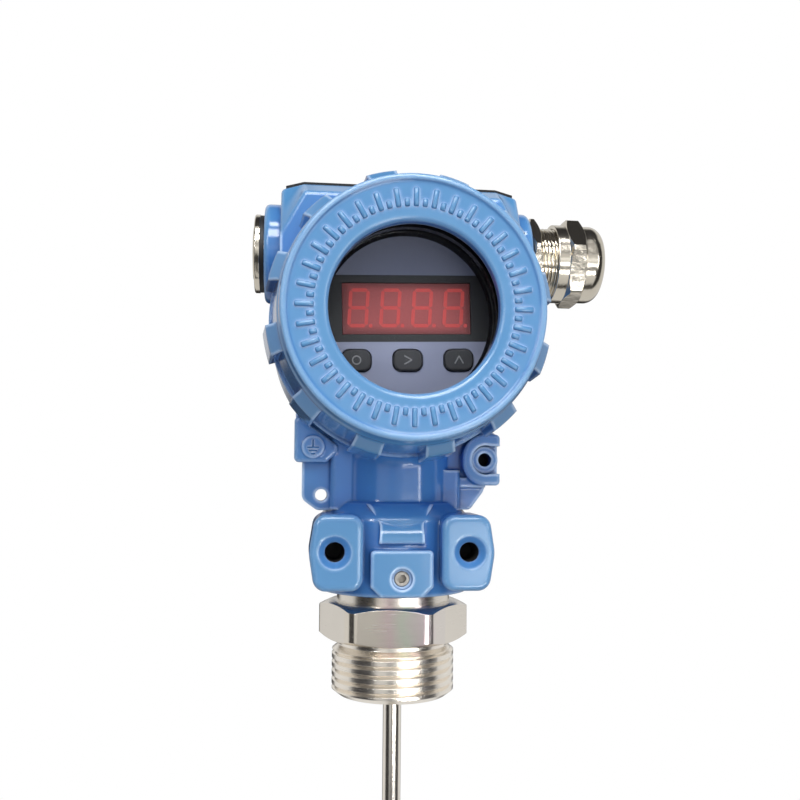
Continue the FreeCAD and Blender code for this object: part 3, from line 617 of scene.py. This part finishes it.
def housing_holes(finish):
    """Mask of the unpainted tapped holes in the pads and the ear, which are coloured near black as painted
    shade.
    """
    pads = finish.off_axis(abs(finish.x), finish.z, (PAD_HOLE_X, PAD_HOLE_Z)) < PAD_HOLE_R
    pads = pads * (finish.y > PAD_HOLE_Y) * (finish.y < PAD_HOLE_Y + PAD_HOLE_DEPTH)
    ear = finish.off_axis(finish.x, finish.z, (EAR[0], EAR[2])) < EAR_HOLE_R
    ear = ear * (finish.y > EAR[1] + EAR_HOLE_NEAR) * (finish.y < EAR[1] + EAR_HOLE_FAR)
    return pads.larger(ear)


def front_bare(finish):
    """Mask of the front cover's machined spigot."""
    return finish.y > FRONT_SPIGOT_Y


def rear_bare(finish):
    """Mask of the rear cover's machined spigot."""
    return finish.y < REAR_SPIGOT_Y


def turned_metal(name, tint, roughness, line_scale, stretch, stain_and_sheen=0.0, edge=0.15 * MM, dents=0.0):
    """Bright turned metal with fine tool lines, small dents where they are wanted, and where asked a faint
    stain on the front above the thread and a painted reflection that lightens the metal below it.
    """
    finish = Finish(name, Metallic=1.0)
    lines = finish.noise(line_scale, 2.0, stretch)
    cloud = finish.noise(70.0, 2.0)
    shade = finish.mix(cloud, [part * 0.9 for part in tint], tint)
    if stain_and_sheen:
        drift = finish.noise(110.0, 1.0)
        hue = finish.node(
            "ShaderNodeValToRGB",
            {"stops": [(0.2, (1.0, 0.98, 0.93)), (0.38, (1.0, 0.84, 0.93)), (0.56, (0.84, 0.97, 0.9)),
                       (0.76, (0.93, 0.8, 0.96)), (0.86, (0.95, 0.95, 1.0))]},
            {0: finish.x * 42.0 + 0.42 + 0.3 * drift - 0.08},
        )
        front = finish.y < -0.8 * PIPE_R
        upper = finish.z > PIPE_HALF + 3.0 * MM
        # Painted reflection: below this height the metal takes a plain tint a tenth lighter, without the
        # cloud.
        shade = finish.mix(upper, [1.1 * part for part in tint], shade)
        shade = finish.node(
            "ShaderNodeMix",
            {"data_type": "RGBA", "blend_type": "MULTIPLY"},
            {0: stain_and_sheen * front * upper, 6: shade, 7: hue},
            output=2,
        )
    finish.set(Base_Color=shade, Roughness=roughness * 0.8 + roughness * 0.5 * lines)
    finish.relief(lines * 0.000004 + finish.noise(300.0, 2.0) * dents, edge)
    return finish.material


def moulded(name, tint, roughness=0.5, grain_scale=1500.0, grain_height=0.00001, coat=0.0, edge=0.2 * MM):
    """A moulded or painted surface with a fine even grain."""
    finish = Finish(name, Coat_Weight=coat, Coat_Roughness=0.15)
    cloud = finish.noise(120.0, 3.0)
    grain = finish.noise(grain_scale, 2.0)
    finish.set(
        Base_Color=finish.mix(cloud, [part * 0.82 for part in tint], [min(1.0, part * 1.1) for part in tint]),
        Roughness=roughness * 0.85 + roughness * 0.3 * grain,
    )
    finish.relief(grain * grain_height, edge)
    return finish.material


def panel_film(name):
    """Printed film of the display panel: grey with one dark band behind the digits, and painted shade that
    darkens the grey towards the top.
    """
    colours = bpy.context.scene.head_colours
    marks = bpy.context.scene.head_marks
    finish = Finish(name)
    lean = math.tan(marks.display_turn)
    off = abs(finish.z - DIGITS_Z - finish.x * lean)
    inside = 1.0 - finish.smooth(off, 8.25 * MM, 8.37 * MM)
    cloud = finish.noise(90.0, 2.0)
    grain = finish.noise(2600.0, 2.0)
    grey = finish.mix(cloud, [part * 0.92 for part in colours.panel], colours.panel)
    # Painted shade: the grey darkens towards the top to 0.64 of itself.
    upper_shade = finish.smooth(finish.z - finish.x * lean, DIGITS_Z - 12.0 * MM, DIGITS_Z + 13.0 * MM)
    grey = finish.mix(upper_shade, grey, [part * 0.64 for part in colours.panel])
    roughness = 0.42 + 0.12 * grain - 0.08 * inside
    finish.set(Base_Color=finish.mix(inside, grey, colours.band), Roughness=roughness)
    finish.relief(grain * 0.000004)
    return finish.material


def red_lens(name):
    """Smoked red block behind the bars, with a fine diffusing speckle."""
    colours = bpy.context.scene.head_colours
    finish = Finish(name, Coat_Weight=0.3, Coat_Roughness=0.2, Emission_Strength=0.15)
    speckle = finish.noise(2200.0, 2.0)
    shade = finish.mix(speckle, [part * 0.8 for part in colours.lens], [part * 1.15 for part in colours.lens])
    in_x = DIGITS_HIGH[0] - abs(finish.x)
    in_z = DIGITS_HIGH[2] - DIGITS_Z - abs(finish.z - DIGITS_Z)
    rim = 1.0 - finish.smooth(in_x.smaller(in_z), 0.3 * MM, 2.6 * MM)
    shade = finish.mix(0.75 * rim, shade, [part * 0.3 for part in colours.lens])
    finish.set(Base_Color=shade, Emission_Color=shade, Roughness=0.4 + 0.15 * speckle)
    finish.relief(speckle * 0.000003)
    return finish.material


def lit_bar(name):
    """A dimly lit red bar of a digit."""
    colours = bpy.context.scene.head_colours
    finish = Finish(name, Emission_Strength=0.45)
    speckle = finish.noise(1800.0, 2.0)
    shade = finish.mix(speckle, [part * 0.8 for part in colours.segment], colours.segment)
    finish.set(Base_Color=shade, Emission_Color=shade, Roughness=0.4 + 0.1 * speckle)
    return finish.material


def window_glass(name):
    """Flat toughened glass: clear, with the gloss of its faces."""
    finish = Finish(name, Roughness=0.03, Base_Color=(0.02, 0.02, 0.022, 1.0), IOR=1.5)
    clear = finish.node("ShaderNodeBsdfTransparent", {}, {"Color": (0.93, 0.94, 0.95, 1.0)})
    gloss = finish.node("ShaderNodeFresnel", {}, {"IOR": 1.45})
    smear = finish.noise(60.0, 3.0)
    finish.set(Roughness=0.02 + 0.03 * smear)
    finish.surface(gloss * 0.7 + 0.01 * smear, clear, other_first=True)
    return finish.material


def plate_black(name):
    """Black anodised plate with a thin bright line inside its border."""
    colours = bpy.context.scene.head_colours
    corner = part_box("nameplate")[1]
    finish = Finish(name, IOR=1.3)
    grain = finish.noise(1800.0, 2.0, (0.15, 1.0, 1.0))
    in_x = corner[0] - 3.4 * MM - abs(finish.x)
    in_y = corner[1] - 1.6 * MM - abs(finish.y)
    line = abs(in_x.smaller(in_y)) < 0.16 * MM
    black = finish.mix(grain, [part * 0.8 for part in colours.plate], [part * 1.6 for part in colours.plate])
    finish.set(
        Base_Color=finish.mix(line, black, (0.5, 0.5, 0.5)),
        Metallic=0.9 * line,
        Roughness=0.45 + 0.12 * grain,
    )
    finish.relief(grain * 0.000003, 0.12 * MM)
    return finish.material


def make_finishes():
    """Every material by its plain name."""
    colours = bpy.context.scene.head_colours
    round_z = (1.0, 1.0, 26.0)
    round_x = (26.0, 1.0, 1.0)
    # Painted shade: the lock screw's steel is a darker copy at 0.42 of the steel tint.
    shaded = [0.42 * part for part in colours.steel]
    # Painted light: the rod's steel is a lighter copy at 1.1 of the steel tint.
    brightened = [1.1 * part for part in colours.steel]
    return {
        "housing_enamel": enamel("housing_enamel", housing_bare, housing_holes),
        "front_enamel": enamel("front_enamel", front_bare, edge_highlight=0.45),
        "rear_enamel": enamel("rear_enamel", rear_bare, edge_highlight=0.45),
        "relief_enamel": enamel("relief_enamel", edge_highlight=0.0),
        "fitting_steel": turned_metal("fitting_steel", colours.steel, 0.24, 110.0, round_z, stain_and_sheen=0.7),
        "rod_steel": turned_metal("rod_steel", brightened, 0.2, 160.0, (8.0, 8.0, 0.6)),
        "screw_steel": turned_metal("screw_steel", colours.steel, 0.26, 700.0, (1.0, 1.0, 1.0)),
        "worn_steel": turned_metal("worn_steel", shaded, 0.42, 700.0, round_x),
        "bright_nickel": turned_metal("bright_nickel", colours.nickel, 0.15, 90.0, round_x, dents=0.00008),
        "brass": turned_metal("brass", colours.brass, 0.26, 400.0, (1.0, 1.0, 1.0)),
        "rubber": moulded("rubber", colours.rubber, 0.55, 1400.0, 0.000002),
        "plate": plate_black("plate"),
        "panel": panel_film("panel"),
        "bezel": moulded("bezel", colours.rubber, 0.26, 900.0, 0.000001, coat=0.3),
        "lens": red_lens("lens"),
        "segment": lit_bar("segment"),
        "button": moulded("button", colours.button, 0.5, 1600.0, 0.000008, edge=0.35 * MM),
        "button_mark": moulded("button_mark", colours.button_mark, 0.5, 1600.0, 0.000004, edge=0.0),
        "board": moulded("board", colours.board, 0.35, 700.0, 0.00001, coat=0.4),
        "terminal": moulded("terminal", colours.terminal, 0.4),
        "module": moulded("module", colours.grey_plastic, 0.5),
        "black_plastic": moulded("black_plastic", colours.button, 0.45),
        "lead": moulded("lead", colours.red_plastic, 0.45, 900.0, 0.000006),
        "white_plastic": moulded("white_plastic", colours.white_plastic, 0.45),
        "glass": window_glass("glass"),
    }


NODE_FINISH = {
    "housing": "housing_enamel",
    "nameplate": "plate",
    "nameplate_pins": "screw_steel",
    "lock_screw": "worn_steel",
    "probe_rod": "rod_steel",
    "fitting_o_ring": "rubber",
    "rod_insulator": "white_plastic",
    "rod_washer": "screw_steel",
    "rod_nut": "screw_steel",
    "electronics_module": "module",
    "module_screws": "screw_steel",
    "sensor_lead": "lead",
    "terminal_block": "terminal",
    "terminal_screws": "screw_steel",
    "inner_ground_screw": "brass",
    "display_standoffs": "brass",
    "display_board": "board",
    "button_switches": "black_plastic",
    "digit_block": "lens",
    "display_panel": "panel",
    "display_bezel": "bezel",
    "button_left": "button",
    "button_middle": "button",
    "button_right": "button",
    "window_gasket": "rubber",
    "window_glass": "glass",
    "window_retainer": "bezel",
    "front_cover_seal": "rubber",
    "rear_cover_seal": "rubber",
    "gland_o_ring": "rubber",
    "gland_dome_nut": "bright_nickel",
    "gland_claw": "white_plastic",
    "gland_seal": "rubber",
    "plug_gasket": "rubber",
}


def finish_of(name):
    """A finished material, made once."""
    if name not in bpy.data.materials:
        make_finishes()
    return bpy.data.materials[name]


# Operators


class LEVELHEAD_OT_finishes(bpy.types.Operator):
    """Give every carried-over node its finish"""

    bl_idname = "levelhead.finishes"
    bl_label = "Finish the CAD nodes"

    def execute(self, context):
        for node, finish in NODE_FINISH.items():
            dress(NODES[node], finish_of(finish))
        return {"FINISHED"}


class LEVELHEAD_OT_fitting_thread(bpy.types.Operator):
    """Cut the pipe thread on the process fitting"""

    bl_idname = "levelhead.fitting_thread"
    bl_label = "Pipe thread"

    def execute(self, context):
        sizes = context.scene.head_threads
        top = PIPE["pos_m"][2] + PIPE_HALF
        piece = threaded(
            "process_fitting", "threaded_fitting", axis="Z", centre=(0, 0, 0), radius=PIPE_R,
            depth=sizes.pipe_depth, pitch=sizes.pipe_pitch, stop=top + 0.7 * MM,
            run=-(2 * PIPE_HALF + 2.0 * MM),
        )
        hand_over(piece, "process_connection", finish_of("fitting_steel"))
        return {"FINISHED"}


class LEVELHEAD_OT_gland_thread(bpy.types.Operator):
    """Cut the fine thread on the gland body"""

    bl_idname = "levelhead.gland_thread"
    bl_label = "Gland thread"

    def execute(self, context):
        sizes = context.scene.head_threads
        piece = threaded(
            "gland_body", "threaded_gland_body", axis="X", centre=(0, 0, ENTRY_Z), radius=GLAND_THREAD_R,
            depth=sizes.gland_depth, pitch=sizes.gland_pitch, stop=GLAND_HEXAGON_END + 0.6 * MM,
            run=GLAND_END - GLAND_HEXAGON_END,
        )
        hand_over(piece, "head", finish_of("bright_nickel"))
        return {"FINISHED"}


class LEVELHEAD_OT_plug_thread(bpy.types.Operator):
    """Cut the thread on the blanking plug's shank"""

    bl_idname = "levelhead.plug_thread"
    bl_label = "Plug thread"

    def execute(self, context):
        sizes = context.scene.head_threads
        piece = threaded(
            "blanking_plug", "threaded_plug", axis="X", centre=(0, 0, ENTRY_Z), radius=PLUG_THREAD_R,
            depth=sizes.entry_depth, pitch=sizes.entry_pitch, stop=PLUG_HEAD_BACK + 1.4 * MM,
            run=PLUG_END - PLUG_HEAD_BACK,
        )
        hand_over(piece, "plug", finish_of("bright_nickel"))
        return {"FINISHED"}


class LEVELHEAD_OT_cover_threads(bpy.types.Operator):
    """Cut the threads on both covers' spigots"""

    bl_idname = "levelhead.cover_threads"
    bl_label = "Cover threads"

    def execute(self, context):
        sizes = context.scene.head_threads
        centre = (0, 0, HEAD_Z)
        front = threaded(
            "front_cover", "threaded_front_cover", axis="Y", centre=centre, radius=COVER_THREAD_R,
            depth=sizes.cover_depth, pitch=sizes.cover_pitch, stop=FRONT_THREAD_START, run=COVER_THREAD_RUN,
        )
        hand_over(front, "front_lid", finish_of("front_enamel"))
        rear = threaded(
            "rear_cover", "threaded_rear_cover", axis="Y", centre=centre, radius=COVER_THREAD_R,
            depth=sizes.cover_depth, pitch=sizes.cover_pitch, stop=REAR_THREAD_START, run=-COVER_THREAD_RUN,
        )
        hand_over(rear, "rear_lid", finish_of("rear_enamel"))
        return {"FINISHED"}


class LEVELHEAD_OT_cover_relief(bpy.types.Operator):
    """Raise a ring of plain cast ticks on the front cover"""

    bl_idname = "levelhead.cover_relief"
    bl_label = "Cover relief"

    def execute(self, context):
        marks = context.scene.head_marks
        foot = COVER_FACE + 0.6 * MM
        centre = (0, 0, HEAD_Z)
        ticks = []
        for share, start in ((1.0, 0.0), (0.42, math.pi / marks.tick_count)):
            size = (marks.tick_width, 2 * marks.tick_height, marks.tick_length * share)
            radius = marks.tick_radius - marks.tick_length * (1 - share) / 2
            tick = bar(size, (0, foot, HEAD_Z + radius), 0.28 * MM)
            settle(tick)
            turn_about(tick, centre, "Y", start)
            edit(tick)
            bpy.ops.mesh.select_all(action="SELECT")
            steps = marks.tick_count - 1
            bpy.ops.mesh.spin(
                steps=steps,
                dupli=True,
                angle=2 * math.pi * steps / marks.tick_count,
                center=centre,
                axis=(0, 1, 0),
            )
            close_edit()
            ticks.append(tick)
        relief = as_one(ticks, "cover_relief")
        hand_over(relief, "front_lid", finish_of("relief_enamel"))
        return {"FINISHED"}


class LEVELHEAD_OT_digits(bpy.types.Operator):
    """Build the four seven-bar digits and their points"""

    bl_idname = "levelhead.digits"
    bl_label = "Display digits"

    def execute(self, context):
        marks = context.scene.head_marks
        middle = DIGITS_Z + 0.2 * MM
        front = DIGITS_LOW[1]
        depth = 0.16 * MM
        wide = marks.digit_width - marks.digit_bar
        half = (marks.digit_height - marks.digit_bar) / 2
        lean = math.tan(marks.digit_slant)
        point = marks.digit_bar * 0.44
        bars = []
        for column in range(4):
            centre = (column - 1.5) * marks.digit_pitch - 0.1 * MM
            for level in (-1, 0, 1):
                spot = (centre + level * half * lean, front, middle + level * half)
                bars.append(pointed_bar((wide - 0.25 * MM, depth, marks.digit_bar), spot, point))
            for side in (-1, 1):
                for level in (-0.5, 0.5):
                    spot = (centre + side * wide / 2 + level * half * lean, front, middle + level * half)
                    upright = pointed_bar((half - 0.25 * MM, depth, marks.digit_bar), spot, point)
                    settle(upright)
                    turn_about(upright, spot, "Y", marks.digit_slant - math.pi / 2)
                    bars.append(upright)
            low_right = centre + wide / 2 - half * lean + 1.15 * MM
            dot = (0.9 * MM, depth, 0.9 * MM)
            bars.append(pointed_bar(dot, (low_right, front, middle - half), 0.22 * MM))
        digits = as_one(bars, "display_digits")
        turn_about(digits, (0, 0, HEAD_Z), "Y", -marks.display_turn)
        hand_over(digits, "head", finish_of("segment"))
        return {"FINISHED"}


class LEVELHEAD_OT_button_marks(bpy.types.Operator):
    """Add the plain marks on the three buttons"""

    bl_idname = "levelhead.button_marks"
    bl_label = "Button marks"

    def execute(self, context):
        marks = context.scene.head_marks
        for key, body, heading in (
            ("button_middle", "key_middle", 0.0),
            ("button_right", "key_right", math.pi / 2),
        ):
            spot = self.middle(key)
            arms = []
            for side in (-1, 1):
                size = (marks.chevron_arm, 0.12 * MM, marks.chevron_bar)
                arm = bar(size, spot, 0.05 * MM)
                settle(arm)
                turn_about(arm, spot, "Y", side * math.radians(29))
                arm.location.z = side * marks.chevron_arm * 0.24
                settle(arm)
                arms.append(arm)
            mark = as_one(arms, f"{key}_mark")
            turn_about(mark, spot, "Y", -heading - marks.display_turn)
            hand_over(mark, body, finish_of("button_mark"))
        self.ring(marks)
        return {"FINISHED"}

    def middle(self, key):
        """The middle of a button's front face."""
        low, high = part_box(key)
        return Vector(((low[0] + high[0]) / 2, low[1], (low[2] + high[2]) / 2))

    def ring(self, marks):
        """A plain ring on the left button."""
        spot = self.middle("button_left")
        bpy.ops.object.select_all(action="DESELECT")
        bpy.ops.mesh.primitive_circle_add(
            vertices=40, radius=1.15 * MM, fill_type="NGON", location=spot, rotation=(math.pi / 2, 0, 0)
        )
        ring = bpy.context.object
        settle(ring)
        edit(ring)
        bpy.ops.mesh.select_all(action="SELECT")
        bpy.ops.mesh.inset(thickness=marks.chevron_bar, depth=0)
        bpy.ops.mesh.delete(type="FACE")
        bpy.ops.mesh.select_all(action="SELECT")
        bpy.ops.mesh.extrude_region_move(TRANSFORM_OT_translate={"value": (0, -0.06 * MM, 0)})
        bpy.ops.mesh.select_all(action="SELECT")
        bpy.ops.mesh.normals_make_consistent(inside=False)
        close_edit()
        ring.name = "button_left_mark"
        hand_over(ring, "key_left", finish_of("button_mark"))


class LEVELHEAD_OT_earth_mark(bpy.types.Operator):
    """Raise the earth mark on the round boss of the left web"""

    bl_idname = "levelhead.earth_mark"
    bl_label = "Earth mark"

    def execute(self, context):
        marks = context.scene.head_marks
        thick = 0.42 * MM
        lines = []
        for step in range(3):
            wide = marks.earth_width * (1 - 0.32 * step)
            spot = EARTH_BOSS + Vector((0, 0, -0.15 * MM - step * 0.85 * MM))
            lines.append(bar((wide, 0.5 * MM, thick), spot, 0.1 * MM))
        stem = EARTH_BOSS + Vector((0, 0, 0.9 * MM))
        lines.append(bar((thick, 0.5 * MM, 2.0 * MM), stem, 0.1 * MM))
        mark = as_one(lines, "earth_mark")
        hand_over(mark, "head", finish_of("relief_enamel"))
        return {"FINISHED"}


class LEVELHEAD_OT_studio(bpy.types.Operator):
    """Set up the camera, the light and the floor"""

    bl_idname = "levelhead.studio"
    bl_label = "Studio"

    def execute(self, context):
        studio = context.scene.head_studio
        context.scene.view_settings.view_transform = "Standard"
        self.camera(context, studio)
        self.floor()
        self.world(context, studio)
        for name, at, size, power, mirrored in LAMPS:
            self.softbox(name, at, size, power).visible_glossy = mirrored
        return {"FINISHED"}

    def camera(self, context, studio):
        """The camera at the photograph's place."""
        round_by = studio.camera_round
        at = Vector((-math.sin(round_by), -math.cos(round_by), 0)) * studio.camera_distance
        at.z = studio.camera_height
        heading = round_by + studio.camera_pan
        level = math.cos(studio.camera_tilt)
        ahead = Vector((math.sin(heading) * level, math.cos(heading) * level, math.sin(studio.camera_tilt)))
        right = Vector((math.cos(heading), -math.sin(heading), 0))
        up = right.cross(ahead)
        roll = studio.camera_roll
        right, up = right * math.cos(roll) + up * math.sin(roll), up * math.cos(roll) - right * math.sin(roll)
        bpy.ops.object.camera_add(location=at)
        camera = context.object
        camera.name = "photo_camera"
        camera.rotation_euler = Matrix((right, up, -ahead)).transposed().to_euler()
        camera.data.sensor_fit = "HORIZONTAL"
        camera.data.sensor_width = 36.0
        camera.data.lens = studio.camera_lens
        camera.data.shift_y = studio.camera_shift
        camera.data.clip_start = 0.01
        camera.data.clip_end = 50.0
        context.scene.camera = camera

    def floor(self):
        """A pale floor just under the rod's tip that fades into the white around it."""
        bpy.ops.mesh.primitive_circle_add(
            vertices=96, radius=6.0, fill_type="NGON", location=(0, 0, ROD_TIP - 2.0 * MM)
        )
        floor = bpy.context.object
        floor.name = "floor"
        floor.visible_glossy = False
        finish = Finish("floor_white", Roughness=0.9, Base_Color=(0.35, 0.35, 0.35, 1.0))
        far = finish.smooth(finish.off_axis(finish.x, finish.y, (0.0, 0.0)), 0.07, 0.22)
        path = finish.node("ShaderNodeLightPath", output="Is Camera Ray")
        seen = path.larger(path.out("Is Glossy Ray")).larger(path.out("Is Transmission Ray"))
        white = finish.node("ShaderNodeEmission", {}, {"Color": (1.0, 1.0, 1.0, 1.0), "Strength": 1.0})
        finish.surface(seen * (0.55 + 0.45 * far), white, other_first=False)
        dress(floor, finish.material)

    def world(self, context, studio):
        """White for what the camera sees, and a studio with a dark front for reflections."""
        world = bpy.data.worlds.new("studio_world")
        world.use_nodes = True
        context.scene.world = world
        graph = Graph(world.node_tree)
        ground = world.node_tree.nodes["Background"]
        way = graph.node("ShaderNodeTexCoord", output="Generated")
        y = graph.node("ShaderNodeSeparateXYZ", {}, {0: way}, output="Y")
        room = self.room(graph, y.out("X"), y, y.out("Z"))
        path = graph.node("ShaderNodeLightPath", output="Is Camera Ray")
        clear = path.larger(path.out("Is Transmission Ray"))
        shown = graph.mix(clear, room, (1.0, 1.0, 1.0))
        seen = clear.larger(path.out("Is Glossy Ray"))
        graph.feed(ground.inputs["Color"], graph.mix(seen, studio.sky_tint, shown))
        graph.feed(ground.inputs["Strength"], studio.sky + (1.0 - studio.sky) * seen)

    def room(self, graph, x, y, z):
        """What polished metal mirrors: white walls, dark gaps to both sides of the front, a dark ceiling."""
        heading = x.math("ARCTAN2", x, -1.0 * y)
        lit = 0.0
        for start, end in WALLS:
            low, high = math.radians(start), math.radians(end)
            soft = math.radians(1.5)
            begun = graph.smooth(heading, low - soft, low + soft)
            wall = begun * (1.0 - graph.smooth(heading, high - soft, high + soft))
            lit = wall.larger(lit)
        middle = graph.smooth(heading, math.radians(-14), math.radians(-12)) * (heading < math.radians(-4))
        lit = lit.larger(middle * graph.smooth(z, -0.21, -0.18) * 0.7)
        front = 1.0 - graph.smooth(y, -0.25, 0.1)
        ledge = front * graph.smooth(z, -0.64, -0.6) * (1.0 - graph.smooth(z, -0.31, -0.27))
        upper = front * graph.smooth(z, 0.3, 0.4) * 0.55
        ceiling = graph.smooth(z, 0.72, 0.86)
        behind = graph.smooth(y, 0.76, 0.86) * (1.0 - graph.smooth(z, 0.0, 0.1))
        level = lit * (1.0 - 0.85 * ledge) * (1.0 - upper) * (1.0 - ceiling) * (1.0 - behind)
        return graph.mix(level, (0.036, 0.034, 0.033), (0.72, 0.713, 0.70))

    def softbox(self, name, at, size, power):
        """A soft rectangular lamp that faces the part."""
        bpy.ops.object.light_add(type="AREA", location=at)
        lamp = bpy.context.object
        lamp.name = name
        lamp.rotation_euler = (Vector(LAMP_AIM) - Vector(at)).to_track_quat("-Z", "Y").to_euler()
        lamp.data.shape = "RECTANGLE"
        lamp.data.size = size[0]
        lamp.data.size_y = size[1]
        lamp.data.energy = power
        return lamp


class LEVELHEAD_PT_panel(bpy.types.Panel):
    """Steps and settings of the level head"""

    bl_label = "Level head"
    bl_idname = "LEVELHEAD_PT_panel"
    bl_space_type = "VIEW_3D"
    bl_region_type = "UI"
    bl_category = "Level head"

    def draw(self, context):
        for step in STEPS:
            self.layout.operator(step.bl_idname)
        for group in GROUPS:
            settings = getattr(context.scene, group)
            for name in settings.__annotations__:
                self.layout.prop(settings, name)


GROUPS = {
    "head_threads": HeadThreads,
    "head_marks": HeadMarks,
    "head_colours": HeadColours,
    "head_studio": HeadStudio,
}
STEPS = (
    LEVELHEAD_OT_finishes,
    LEVELHEAD_OT_fitting_thread,
    LEVELHEAD_OT_gland_thread,
    LEVELHEAD_OT_plug_thread,
    LEVELHEAD_OT_cover_threads,
    LEVELHEAD_OT_cover_relief,
    LEVELHEAD_OT_digits,
    LEVELHEAD_OT_button_marks,
    LEVELHEAD_OT_earth_mark,
    LEVELHEAD_OT_studio,
)


def register():
    """Registers the settings, the operators and the panel."""
    for name, group in GROUPS.items():
        bpy.utils.register_class(group)
        setattr(bpy.types.Scene, name, PointerProperty(type=group))
    for step in STEPS:
        bpy.utils.register_class(step)
    bpy.utils.register_class(LEVELHEAD_PT_panel)


def unregister():
    """Takes them all out again."""
    bpy.utils.unregister_class(LEVELHEAD_PT_panel)
    for step in reversed(STEPS):
        bpy.utils.unregister_class(step)
    for name, group in GROUPS.items():
        delattr(bpy.types.Scene, name)
        bpy.utils.unregister_class(group)


def main():
    """Builds the whole scene."""
    register()
    for step in STEPS:
        family, action = step.bl_idname.split(".")
        getattr(getattr(bpy.ops, family), action)()


if __name__ == "__main__":
    main()
